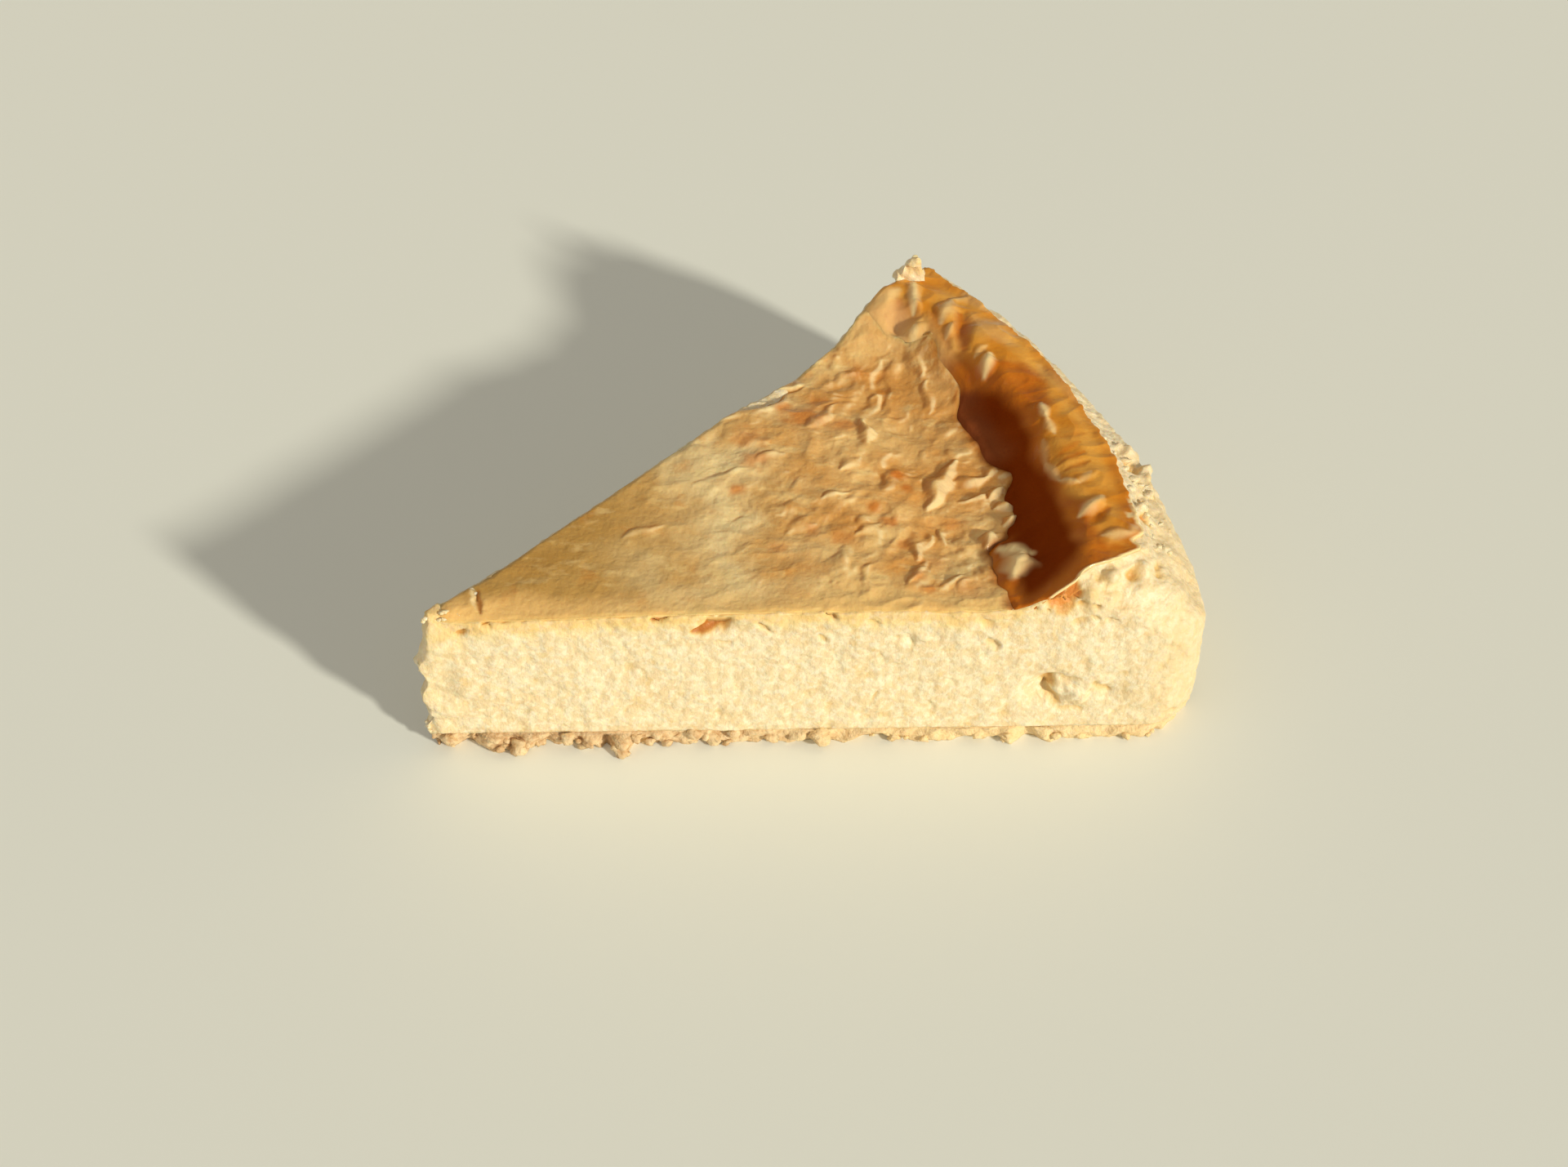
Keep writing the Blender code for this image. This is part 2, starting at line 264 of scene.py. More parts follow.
# Pits in the front cut, as (x, z, x, z, half width, depth, how toasted). A depth below 0
# is a lump.
PITS = (
    (42.0, 26.6, 46.4, 28.2, 1.75, 1.2, 0.95),
    (51.6, 28.2, 53.4, 26.2, 0.7, 0.6, 0.5),
    (45.0, 24.3, 47.0, 23.8, 0.6, 0.4, 0.4),
    (62.3, 31.0, 63.4, 29.2, 0.9, 0.8, 0.7),
    (61.2, 25.6, 62.3, 23.9, 0.6, 0.5, 0.45),
    (35.0, 29.2, 36.8, 29.9, 1.0, 1.2, 1.0),
    (98.8, 14.6, 98.4, 12.0, 1.6, 0.9, 0.65),
    (98.4, 12.0, 100.2, 8.8, 1.4, 0.8, 0.55),
    (102.8, 12.0, 104.0, 9.8, 2.3, -0.9, 0.0),
    (101.0, 14.4, 103.6, 14.6, 0.8, 0.5, 0.4),
    (100.9, 7.6, 104.4, 7.4, 0.9, 0.6, 0.45),
    (106.2, 13.4, 108.6, 11.4, 1.0, 0.6, 0.5),
    (118.4, 5.7, 120.0, 5.9, 1.1, 0.4, 0.3),
    (88.1, 24.0, 89.3, 22.8, 1.2, 0.8, 0.4),
    (87.2, 28.0, 88.2, 27.2, 1.0, 0.5, 0.45),
    (75.0, 25.3, 76.0, 23.3, 0.9, 0.6, 0.2),
    (77.4, 25.3, 77.9, 24.5, 1.4, -0.45, 0.0),
    (69.8, 9.2, 70.9, 12.2, 0.5, 0.35, 0.4),
    (71.0, 20.6, 71.8, 18.8, 0.7, 0.4, 0.25),
    (79.4, 9.6, 80.2, 7.8, 0.7, 0.4, 0.2),
    (94.6, 31.2, 95.2, 30.8, 0.5, 0.5, 0.7),
    (96.8, 30.6, 97.4, 30.2, 0.5, 0.5, 0.6),
    (101.6, 27.6, 103.2, 28.4, 1.0, 0.6, 0.4),
    (104.0, 29.0, 105.2, 28.4, 0.6, 0.6, 0.45),
    (106.4, 28.2, 108.2, 28.0, 0.5, 0.5, 0.25),
    (4.4, 26.6, 5.6, 27.2, 0.7, 0.8, 0.7),
    (8.6, 28.9, 9.8, 28.7, 0.6, 0.8, 0.6),
    (68.6, 28.6, 70.2, 28.0, 0.8, 0.5, 0.25),
    (82.4, 15.0, 83.4, 13.8, 0.8, 0.4, 0.2),
    (30.0, 24.4, 31.0, 21.6, 0.6, 0.4, 0.1),
)

# Hollows and crags in the broken crumb of the front corner and the shoulder, as
# (centre, radius, depth, how toasted). A depth below 0 is a crag.
BROKEN = (
    ((98.6, 0.0, 32.7), 2.9, 0.9, 1.0),
    ((100.6, 0.3, 33.6), 2.3, 1.5, 1.1),
    ((99.4, -0.1, 30.9), 2.5, 0.2, 0.7),
    ((103.3, 0.9, 33.4), 2.1, -1.3, 0.35),
    ((102.0, 0.6, 31.3), 1.3, 1.0, 0.7),
    ((104.6, 0.3, 31.0), 1.0, 1.1, 0.5),
    ((110.4, 5.2, 33.2), 2.0, 1.4, 0.62),
    ((114.4, 7.8, 31.6), 1.9, 1.2, 0.62),
    ((112.4, 6.2, 33.8), 1.7, -1.5, 0.0),
    ((106.4, 3.4, 34.8), 1.9, -1.6, 0.0),
    ((104.8, 2.4, 35.2), 1.0, 0.9, 0.4),
    ((107.0, 0.8, 32.4), 1.7, -1.0, 0.0),
    ((105.6, 0.6, 34.4), 0.8, 1.0, 0.35),
    ((86.4, 82.2, 35.4), 2.6, -1.3, 0.0),
    ((111.6, 3.2, 31.2), 1.5, -0.9, 0.0),
    ((108.3, 1.4, 29.0), 2.2, -0.8, 0.0),
    ((112.4, 1.2, 27.0), 1.8, -0.7, 0.0),
    ((112.6, 11.4, 33.4), 1.6, -1.2, 0.0),
    ((113.8, 17.6, 33.5), 1.3, 1.1, 0.8),
    ((115.6, 17.2, 33.0), 1.2, 1.1, 0.8),
    ((114.0, 19.8, 34.0), 1.4, -1.2, 0.0),
    ((114.9, 23.2, 33.3), 2.0, 1.7, 0.3),
    ((117.3, 22.2, 33.0), 1.6, -0.9, 0.0),
    ((114.4, 31.2, 33.0), 2.1, 1.5, 0.55),
    ((114.3, 35.0, 32.8), 2.4, -1.7, 0.0),
    ((117.2, 31.0, 31.6), 2.1, -1.7, 0.0),
    ((113.6, 38.6, 33.2), 1.6, 1.2, 0.2),
    ((111.6, 44.0, 33.6), 2.0, -1.3, 0.0),
    ((104.2, 54.2, 34.4), 1.5, -1.2, 0.0),
    ((107.0, 47.6, 34.0), 1.4, 0.9, 0.1),
    ((98.0, 63.4, 34.4), 1.4, 0.8, 0.1),
)

# The flake that stands up on the back corner: its centre and its length.
FLAKE_CENTRE = (80.6, 80.0, 36.2)
FLAKE_LENGTH = 5.6

# Mesh fineness: coarse cells and rows, how often the faces that show are halved, and the
# steps in which the skins' edges are worked out.
FILLING_CELLS = 44
FILLING_ROWS = 10
PARCHMENT_CELLS = 50
RIM_CELLS = (36, 8)
FLAKE_CELLS = (6, 5)
BASE_CELLS = 48
BASE_ROWS = 2
HALVINGS = 3
RIM_HALVINGS = 4
PARCHMENT_STEPS = 800
TORN_EDGE_STEPS = 1600

# How many crumbs cling to the shoulder, to each burr, to the point and to the foot.
SHOULDER_CRUMBS = 28
BURR_CRUMBS = 3
POINT_CRUMBS = 7
FOOT_CRUMBS = 190

# What the mesh of the filling carries for its material: how far the crumb is broken open,
# the painted shade in the gaps between its lumps, how toasted it is and how yellow under the skin.
CREAM_LAYERS = ("torn", "gap_shade", "toast", "yolk")

# The camera, in metres and degrees.
CAMERA_LENS = 51.94
CAMERA_PLACE = (-0.0197, -0.28736, 0.28294)
CAMERA_AIM = (0.0400, 0.7061, -0.7070)
CAMERA_ROLL = 1.71

# The suns, as (name, way to it, strength, how wide it looks in degrees, colour), and the
# even light of the room.
SUNS = (
    ("key", (0.68, -0.617, 0.391), 2.9, 5.0, (1.0, 0.93, 0.76)),
    ("fill", (-0.5, -0.5, 0.8), 0.3, 60.0, (1.0, 0.96, 0.88)),
)
ROOM_COLOUR = (1.0, 0.91, 0.75, 1.0)
ROOM_STRENGTH = 0.32
FLOOR_COLOUR = (0.87, 0.91, 0.88, 1.0)


# Small helpers for blending numbers.


def smooth(low, high, value):
    """0 below low, 1 above high, and a soft step between."""
    share = min(max((value - low) / (high - low), 0.0), 1.0)
    return share * share * (3.0 - 2.0 * share)


def mix(first, second, share):
    """first at share 0, second at share 1."""
    return first + (second - first) * share


def bump(centre, half_width, value):
    """1 at the centre, falling smoothly to 0 at half_width on either side."""
    return 1.0 - smooth(0.0, half_width, abs(value - centre))


def follow(points, share):
    """The smooth curve through (share, value) points."""
    for (start, first), (end, second) in zip(points, points[1:]):
        if share <= end:
            return mix(first, second, smooth(start, end, share))
    return points[-1][1]


def noise_place(x, y, z, size, seed):
    """Where noise is read, so that its lumps are about size across."""
    return Vector((x / size + seed, y / size - seed, z / size + 2.0 * seed))


def grain(x, y, z, size, seed=0.0):
    """Smooth noise from -1 to 1 whose lumps are about size across."""
    return noise.noise(noise_place(x, y, z, size, seed))


def warped(x, y, reach, size, seed_x, seed_y):
    """A point moved about by noise, so that what is drawn from it looks uneven."""
    return (
        x + reach * grain(x, y, 0.0, size, seed_x),
        y + reach * grain(x, y, 0.0, size, seed_y),
    )


def billow(x, y, size, seed=0.0):
    """Round bumps with creases between them, from -1 to 1."""
    return 1.0 - 4.0 * abs(grain(x, y, 0.0, size, seed))


def curd(x, y, z, size, seed=0.0):
    """Packed round lumps, about 1 at a lump's middle and below 0 in the gaps."""
    nearest = noise.voronoi(noise_place(x, y, z, size, seed))[0][0]
    return 1.0 - 2.2 * nearest * nearest


def crag(x, y, z, size, seed=0.0):
    """Broken lumps that stand out unevenly with cracks between them, about -1 to 1."""
    distances, centres = noise.voronoi(noise_place(x, y, z, size, seed))[:2]
    apart = smooth(0.0, 0.6, distances[1] - distances[0])
    return (0.3 + 1.5 * noise.noise(centres[0] * 5.3)) * apart - 0.3 * (1.0 - apart)


def past_line(x, y, start_x, start_y, end_x, end_y):
    """(distance from a short line, share of its width there), for a line that tapers."""
    dx, dy = end_x - start_x, end_y - start_y
    along = ((x - start_x) * dx + (y - start_y) * dy) / (dx * dx + dy * dy)
    along = min(max(along, 0.0), 1.0)
    away = math.hypot(x - start_x - along * dx, y - start_y - along * dy)
    return away, 1.0 - 0.6 * (2.0 * along - 1.0) ** 2


# The plan of the slice.


def around_axis(radius, angle):
    """(x, y) at a radius from the cake's axis and an angle from the front cut."""
    return radius * math.cos(angle), radius * math.sin(angle)


def round_corner(from_cut, from_wall, rounding):
    """Moves a point near a square corner so that the corner becomes round."""
    if from_cut >= rounding or from_wall >= rounding:
        return from_cut, from_wall
    near_cut = 1.0 - from_cut / rounding
    near_wall = 1.0 - from_wall / rounding
    return (
        rounding * (1.0 - near_cut * math.sqrt(1.0 - near_wall * near_wall / 2.0)),
        rounding * (1.0 - near_wall * math.sqrt(1.0 - near_cut * near_cut / 2.0)),
    )


def wall_radius(z):
    """The outer wall bulges a little and leans in towards the shoulder."""
    return CAKE_RADIUS - WALL_LEAN * smooth(14.0, 36.0, z) ** 2 - 1.2 * (1.0 - smooth(0.0, 9.0, z))


def plan_point(u, v, wall):
    """(x, y) for u from the point to the wall, and v from 0 to u across the slice."""
    share = v / u if u > 0.0 else 0.5
    blunt = TIP_BLUNTNESS / wall
    radius = wall * (u**2.5 + blunt**2.5 * (1.0 - u)) ** 0.4
    angle = SLICE_ANGLE * share
    from_wall = wall - radius
    if share < 0.5:
        from_cut, from_wall = round_corner(
            radius * math.sin(angle), from_wall, FRONT_CORNER_ROUNDING
        )
        radius = wall - from_wall
        angle = math.asin(from_cut / radius)
    elif share > 0.5:
        from_cut, from_wall = round_corner(
            radius * math.sin(SLICE_ANGLE - angle), from_wall, BACK_CORNER_ROUNDING
        )
        radius = wall - from_wall
        angle = SLICE_ANGLE - math.asin(from_cut / radius)
    return around_axis(radius, angle)


def tip_drag(x, y, z):
    """The knife dragged the point outwards, more so towards its foot."""
    radius = math.hypot(x, y)
    drag = mix(TIP_DRAG_LOW, TIP_DRAG_HIGH, smooth(14.0, 30.0, z)) * (1.0 - smooth(0.0, 17.0, radius))
    for height, reach, half in BURRS:
        drag += reach * bump(height, half, z) * (1.0 - smooth(1.0, 5.0, radius))
    return drag


def from_back_cut(x, y):
    """How far a point lies inside the back cut; the front cut runs along y = 0."""
    return (x - y) * math.sqrt(0.5)


# The top of the slice.


def angle_share(x, y):
    """The share of the slice's angle: 0 on the front cut, 1 on the back cut."""
    return min(max(math.atan2(y, x) / SLICE_ANGLE, 0.0), 1.0)


def skin_margin(x, y):
    """How far a point lies inside the skin's torn edge; below 0 the skin is gone."""
    share = angle_share(x, y)
    at_rim = follow(SKIN_EDGE, share) - math.hypot(x, y) + 0.7 * grain(x, y, 0.0, 6.0, 3.1)
    broken = (y - (x - BREAK_START_X) * BREAK_SLOPE) / math.hypot(1.0, BREAK_SLOPE)
    return min(at_rim, broken + 0.9 * grain(x, y, 0.0, 5.0, 7.7))


def from_skin_start(x, y):
    """How far a point lies from where the skin starts at the cuts and the point."""
    front = y - SKIN_INSET - 0.35 * grain(x, 0.0, 0.0, 3.4, 1.2)
    back = from_back_cut(x, y) - SKIN_INSET - 0.35 * grain(x, 0.0, 0.0, 4.2, 8.2)
    point = math.hypot(x, y) - SKIN_START_RADIUS - 0.9 * grain(x, y, 0.0, 2.0, 6.0)
    return min(front, back, point)


def cover(x, y):
    """How far a point lies under the skin, seen from every edge; below 0 it is bare."""
    return min(from_skin_start(x, y), skin_margin(x, y))


def top_form(x, y):
    """The baked form of the top: level middle, sunken ring and raised rim."""
    radius = math.hypot(x, y)
    share = angle_share(x, y)
    foot = follow(RIM_FOOT, share)
    crest = follow(RIM_CREST, share)
    height = CENTRE_HEIGHT - 0.9 * (1.0 - smooth(0.0, 0.5, share)) * bump(8.0, 30.0, radius)
    height += 0.6 * smooth(30.0, 70.0, radius) * (1.0 - smooth(0.0, 0.4, share))
    height -= mix(0.2, 1.7, smooth(0.0, 0.3, share)) * bump(foot - 9.0, 19.0, radius)
    height += RIM_RISE * smooth(foot, crest, radius)
    height -= 1.7 * smooth(crest + 1.0, SHOULDER_RADIUS, radius)
    height += 0.7 * smooth(foot, crest, radius) * grain(x, y, 0.0, 17.0, 1.3)
    return height


def parchment_margin(x, y):
    """How far a point lies inside the ragged edge of the dry skin."""
    return follow(PARCHMENT_EDGE, angle_share(x, y)) - math.hypot(x, y)


def soft_form(x, y):
    """The top with its broad swells alone, which the filling follows under the skin."""
    radius = math.hypot(x, y)
    warp_x, warp_y = warped(x, y, 2.5, 9.0, 4.4, 5.9)
    swell = 0.2 * billow(warp_x * 0.8, warp_y * 1.25, 6.2, 0.4) + 0.25 * grain(x, y, 0.0, 11.0, 2.7)
    return top_form(x, y) + swell * mix(0.3, 1.0, smooth(25.0, 80.0, radius))


def blisters(x, y, lean, length, size, seed):
    """Soft blisters from 0 to 1, stretched towards lean, with flat skin between them."""
    along = (x * math.cos(lean) + y * math.sin(lean)) / length
    across = y * math.cos(lean) - x * math.sin(lean)
    return smooth(0.1, 0.6, grain(along, across, 0.0, size, seed))


def wrinkle_height(x, y):
    """The height of the dry skin's wrinkles over its broad form."""
    share = angle_share(x, y)
    rough = smooth(38.0, 74.0, x + 8.0 * share + 7.0 * grain(x, y, 0.0, 15.0, 0.7))
    calm = smooth(1.5, 7.0, y + 2.0 * grain(x, y, 0.0, 8.0, 3.7))
    warp_x, warp_y = warped(x, y, 1.5, 3.8, 8.1, 2.9)
    steep = smooth(52.0, 72.0, x)
    patch = smooth(-0.3, 0.35, grain(x, y, 0.0, 8.0, 2.2))
    height = mix(0.16, 1.0, rough) * mix(0.35, 1.0, calm) * (
        0.32 * (1.0 - steep) * blisters(warp_x, warp_y, 0.8, 1.3, 3.0, 1.7)
        + 0.4 * steep * blisters(warp_x, warp_y, 1.1, 1.3, 3.6, 6.1)
        + mix(0.3, 0.36, steep)
        * mix(0.15, 1.0, patch)
        * grain(0.36 * x + 0.62 * y, 0.5 * y - 0.87 * x, 0.0, 2.0, 4.9)
        + 0.12 * mix(0.4, 1.0, patch) * grain(warp_x, warp_y, 0.0, 1.15, 3.3)
        + 0.04 * grain(warp_x, warp_y, 0.0, 0.8, 6.4)
    )
    for start_x, start_y, end_x, end_y, half, rise in RIDGES:
        away, width = past_line(warp_x, warp_y, start_x, start_y, end_x, end_y)
        away /= half * width
        if away < 1.3:
            height += rise * width * (1.0 - smooth(0.0, 1.3, away))
    return height


def spotted(x, y):
    """How browned the dry skin is by the listed spots."""
    brown = 0.0
    for centre_x, centre_y, radius, strength in SPOTS:
        away = math.hypot(x - centre_x, 1.15 * (y - centre_y)) / radius
        if away < 1.7:
            away += 0.5 * grain(x, y, 0.0, 1.6, 3.8)
            brown = max(brown, strength * smooth(1.35, 0.2, away))
    return brown


def slopes(height_at, x, y):
    """(height, painted shade, painted highlight) of a relief, by how far it turns from the light or
    to it.
    """
    height = height_at(x, y)
    rise = height_at(x + SLOPE_STEP * LIT_SIDE[0], y + SLOPE_STEP * LIT_SIDE[1]) - height
    return height, smooth(0.02, 0.24, rise), smooth(0.02, 0.2, -rise)


def fold_height(x, y):
    """The height of the glossy rim's folds over its broad form."""
    warp_x, warp_y = warped(x, y, 1.3, 4.5, 8.4, 3.9)
    height = 0.3 * grain(x, y, 0.0, 6.0, 8.2)
    for start_x, start_y, end_x, end_y, half, rise, _ in FOLDS:
        away, width = past_line(warp_x, warp_y, start_x, start_y, end_x, end_y)
        away /= half * (0.3 + 0.7 * width)
        if away < 1.8:
            height += 0.85 * rise * min(half / 1.4, 1.0) * width * (1.0 - smooth(0.0, 1.8, away))
    crest = follow(RIM_CREST, angle_share(x, y))
    on_crest = smooth(crest - 6.0, crest - 1.5, math.hypot(x, y))
    patch = smooth(-0.15, 0.35, grain(x, y, 0.0, 9.0, 5.8))
    height += 0.08 * on_crest * patch * grain(warp_x, warp_y, 0.0, 2.6, 6.1)
    return height


def fold_tint(x, y):
    """(pale, amber) of the glossy rim from the listed folds."""
    pale = amber = 0.0
    for start_x, start_y, end_x, end_y, half, _, lightness in FOLDS:
        away, width = past_line(x, y, start_x, start_y, end_x, end_y)
        away /= half * width
        if away < 2.0:
            away *= 1.0 + 0.3 * grain(x, y, 0.0, 2.2, 4.6)
            # Pale skin on the fold ridges, partly a painted highlight.
            pale = max(pale, lightness * smooth(1.4, 0.0, away))
            amber = max(amber, -lightness * smooth(1.8, 0.0, away))
    return pale, amber


def hollow_depth(x, y, z):
    """How deep the torn hollows are at a point of the surface."""
    depth = 0.0
    for centre, radius, deepest in HOLLOWS:
        depth += deepest * (1.0 - smooth(0.0, radius, math.dist((x, y, z), centre)))
    return depth


def filling_top(x, y):
    """The top of the filling: under the skin, or crumbled where the skin is gone."""
    height = soft_form(x, y)
    margin = skin_margin(x, y)
    if margin < 0.0:
        share = angle_share(x, y)
        crumble = 1.0 - math.exp(margin / BREAK_SOFTNESS)
        height -= mix(BREAK_DROP_CORNER, BREAK_DROP_RIM, smooth(0.1, 0.35, share)) * crumble
        height += mix(1.2, 0.6, smooth(0.25, 0.4, share)) * crumble * grain(x, y, 0.0, 4.4, 9.3)
    covered = cover(x, y)
    height -= SKIN_THICKNESS * smooth(-1.4, -0.5, covered) + SKIN_BEDDING * smooth(0.9, 4.5, covered)
    return height - hollow_depth(x, y, height)


# The sides of the slice.


def side_relief(x, y, z):
    """How far the crumbly cut faces and the wall stand out from their plain surface."""
    relief = 0.35 * grain(x, y, z, 14.0, 1.9) + 0.3 * grain(x, y, z, 4.6, 5.3)
    relief += 1.1 * (1.0 - smooth(3.0, 9.0, math.hypot(x, y))) * grain(x, y, z, 5.0, 3.7)
    return relief - hollow_depth(x, y, z)


def curds(x, y, z):
    """(height, painted shade in the gaps) of the fine curds and knife streaks on a cut face."""
    warp = 0.5 * grain(x, y, z, 1.6, 8.8)
    small = curd(x + warp, y, z - warp, 1.5, 4.8)
    large = curd(x - warp, y, z + warp, 2.9, 2.3)
    streak = grain(x * 1.3, y * 1.3, z * 0.25, 1.3, 7.2)
    fine = grain(x, y, z, 0.8, 3.9)
    height = 0.14 * small + 0.18 * large + 0.05 * streak + 0.06 * fine
    return height, smooth(0.2, -0.9, small * 0.5 + large * 0.5 + streak * 0.5)


def broken_crumb(x, y, z):
    """(height, painted shade in the gaps) of the coarse crumb where the cake has broken open."""
    warp = 0.9 * grain(x, y, z, 2.4, 5.7)
    large = crag(x + warp, y - warp, z, 3.6, 2.8)
    small = crag(x - warp, y, z + warp, 1.9, 6.6)
    fine = curd(x, y + warp, z, 0.9, 1.4)
    broad = grain(x, y, z, 5.0, 5.1)
    height = 0.5 * large + 0.28 * small + 0.1 * fine + 0.8 * broad
    return height, smooth(0.25, -0.9, 0.6 * large + 0.5 * small + 0.3 * fine)


def placed_pits(x, y, z):
    """(depth, toast) of the listed pits and crags."""
    depth = toast = 0.0
    if y < 2.5:
        for start_x, start_z, end_x, end_z, half, deepest, brown in PITS:
            away, width = past_line(x, z, start_x, start_z, end_x, end_z)
            away /= half * (0.5 + 0.5 * width)
            if away < 1.6:
                away *= 1.0 + 0.6 * grain(x, y, z, 1.1, 2.4)
                depth += deepest * (1.0 - smooth(0.1, 1.1, away))
                toast = max(toast, brown * (1.0 - smooth(0.3, 1.15, away)))
    for centre, radius, deepest, brown in BROKEN:
        away = math.dist((x, y, z), centre) / radius
        if away < 1.5:
            away *= 1.0 + 0.5 * grain(x, y, z, 1.4, 7.4)
            depth += deepest * (1.0 - smooth(0.1, 1.0, away))
            toast = max(toast, brown * (1.0 - smooth(0.4, 1.1, away)))
    return depth, toast


def tear(x, y, z):
    """0 on a clean cut or wall, 1 where the crumb is broken open."""
    radius = math.hypot(x, y)
    below_break = smooth(92.0, 98.0, x) * smooth(28.0, 32.0, z + 2.0 * grain(x, y, z, 5.0, 1.1))
    below_break *= mix(1.0, 0.2, smooth(107.0, 112.0, x))
    at_point = 0.6 * (1.0 - smooth(2.0, 9.0, radius))
    shoulder = smooth(24.0, 33.0, z + 4.0 * grain(x, y, z, 7.0, 4.1)) * smooth(112.0, 117.0, radius)
    shoulder *= mix(0.4, 0.25, smooth(0.16, 0.3, angle_share(x, y)))
    return max(below_break * (1.0 - smooth(6.0, 13.0, y)), at_point, shoulder)


def base_relief(x, y, z):
    """How far the ragged foot of the slice stands out from its plain edge."""
    relief = 0.5 * billow(x + 0.4 * y, 0.9 * y + 1.7 * z, 6.0, 6.6)
    relief += 0.35 * grain(x, y, z, 10.0, 2.9)
    uneven = 0.75 + 0.5 * grain(x, y, z, 1.8, 5.5)
    for centre, reach, half in KNOBS:
        knob = reach * bump(centre, half, x + 0.7 * grain(x, y, z, 1.5, 3.3))
        relief += knob * uneven * (1.0 - smooth(0.0, 2.0, abs(y)))
    return relief


# Making the pieces.


def closed_wedge(cells, rows):
    """A bmesh prism on the triangle (0,0) (1,0) (1,1), cut into a grid on every side.

    Its underside is one flat face. A vertex's x, read as u, is its share of the way from
    the point to the wall. Its y, read as v, runs from 0 to u across the slice, and its z,
    read as w, is its share of the height.
    """
    bm = bmesh.new()
    corners = ((0.0, 0.0), (1.0, 0.0), (1.0, 1.0))
    low = [bm.verts.new((x, y, 0.0)) for x, y in corners]
    high = [bm.verts.new((x, y, 1.0)) for x, y in corners]
    bm.faces.new(high)
    for i in range(3):
        j = (i + 1) % 3
        bm.faces.new((low[i], low[j], high[j], high[i]))
    cut_grid(bm, cells, rows)
    bmesh.ops.holes_fill(bm, edges=[e for e in bm.edges if e.is_boundary], sides=0)
    bmesh.ops.recalc_face_normals(bm, faces=bm.faces)
    return bm


def cut_grid(bm, cells, rows):
    """Cuts the level edges of a prism into cells and its upright edges into rows."""
    upright = [e for e in bm.edges if abs(e.verts[0].co.z - e.verts[1].co.z) > 0.5]
    if rows > 1:
        bmesh.ops.subdivide_edges(bm, edges=upright, cuts=rows - 1, use_grid_fill=True)
    level = [e for e in bm.edges if abs(e.verts[0].co.z - e.verts[1].co.z) < 1e-6]
    bmesh.ops.subdivide_edges(bm, edges=level, cuts=cells - 1, use_grid_fill=True)


def cut_slab(along, across):
    """A unit cube cut into a grid along x and y, to be shaped into a strip of skin."""
    bm = bmesh.new()
    bmesh.ops.create_cube(bm, size=1.0, matrix=Matrix.Translation((0.5, 0.5, 0.5)))
    for axis, cells in ((0, along), (1, across)):
        edges = [e for e in bm.edges if abs(e.verts[0].co[axis] - e.verts[1].co[axis]) > 0.5]
        bmesh.ops.subdivide_edges(bm, edges=edges, cuts=cells - 1, use_grid_fill=True)
    return bm


def refine(bm, wanted):
    """Halves the edges of every face whose middle is wanted finer."""
    edges = set()
    for face in bm.faces:
        if len(face.verts) < 5 and wanted(face.calc_center_median()):
            edges.update(face.edges)
    bmesh.ops.subdivide_edges(bm, edges=list(edges), cuts=1, use_grid_fill=True)


def add_layers(bm, *names):
    """Adds numbers that the mesh carries at each point, for its material to read."""
    return [bm.verts.layers.float.new(name) for name in names]


def looked_up(radius_at, steps):
    """The same curve over the share of the slice's angle, worked out once in steps."""
    radii = [radius_at(step / steps) for step in range(steps + 1)]
    return lambda share: radii[min(int(share * steps + 0.5), steps)]


def add_object(name, data):
    """Adds an object to the scene."""
    made = bpy.data.objects.new(name, data)
    bpy.context.scene.collection.objects.link(made)
    return made


def finish_piece(name, bm, material, slot, *nodes):
    """Turns a bmesh in millimetres round the cake's axis into a piece of the slice."""
    if bm.calc_volume(signed=True) < 0.0:
        bmesh.ops.reverse_faces(bm, faces=bm.faces)
    bmesh.ops.triangulate(bm, faces=[face for face in bm.faces if len(face.verts) > 4])
    bmesh.ops.translate(bm, verts=bm.verts, vec=(AXIS_X, AXIS_Y, 0.0))
    bmesh.ops.scale(bm, verts=bm.verts, vec=(MM, MM, MM))
    mesh = bpy.data.meshes.new(name)
    bm.to_mesh(mesh)
    bm.free()
    mesh.materials.append(material)
    mesh.shade_smooth()
    piece = add_object(name, mesh)
    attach(piece, "root")
    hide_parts(*nodes)


def face_shows(middle, reach, back_too=True):
    """Whether a face of the filling shows: the sides, and the top out to reach under the skin."""
    u, v, w = middle
    if w < 0.999:
        return w > 0.001 and (back_too or v < u - 1e-4)
    x, y = plan_point(u, v, SHOULDER_RADIUS)
    return cover(x, y) < reach


def place_filling(bm):
    """Gives the prism the filling's plain form, and returns the points under the skin."""
    torn, _, _, yolk = add_layers(bm, *CREAM_LAYERS)
    hidden = set()
    for vert in bm.verts:
        u, v, w = vert.co
        x, y = plan_point(u, v, SHOULDER_RADIUS)
        from_edge = min((1.0 - u) * SHOULDER_RADIUS, v * SLICE_ANGLE * SHOULDER_RADIUS)
        at_corner = smooth(98.0, 106.0, x) * smooth(18.0, 10.0, y)
        near_edge = max(1.0 - from_edge / CORNER_WEAR_REACH, 0.0)
        top = filling_top(x, y) - CORNER_WEAR * at_corner * near_edge**2
        z = mix(FILLING_FLOOR, top, w)
        if w < 1.0:
            reach = mix(wall_radius(z), SHOULDER_RADIUS, smooth(0.8, 1.0, w))
            x, y = plan_point(u, v, reach)
            vert[torn] = tear(x, y, z)
        else:
            crags = mix(1.0, 0.3, smooth(0.16, 0.3, angle_share(x, y)))
            crags *= mix(1.0, 0.2, smooth(107.0, 112.0, x))
            vert[torn] = crags * smooth(0.6, -0.4, skin_margin(x, y))
            if cover(x, y) > 1.2:
                hidden.add(vert)
        from_top = top - z + 1.6 * grain(x, y, z, 3.0, 6.2)
        near_front = smooth(6.0, 2.5, y) * smooth(100.0, 92.0, x)
        vert[yolk] = smooth(4.6, 0.8, from_top * mix(0.55, 1.0, smooth(4.0, 10.0, x))) * near_front
        vert.co = (x - tip_drag(x, y, z), y, z)
    return hidden


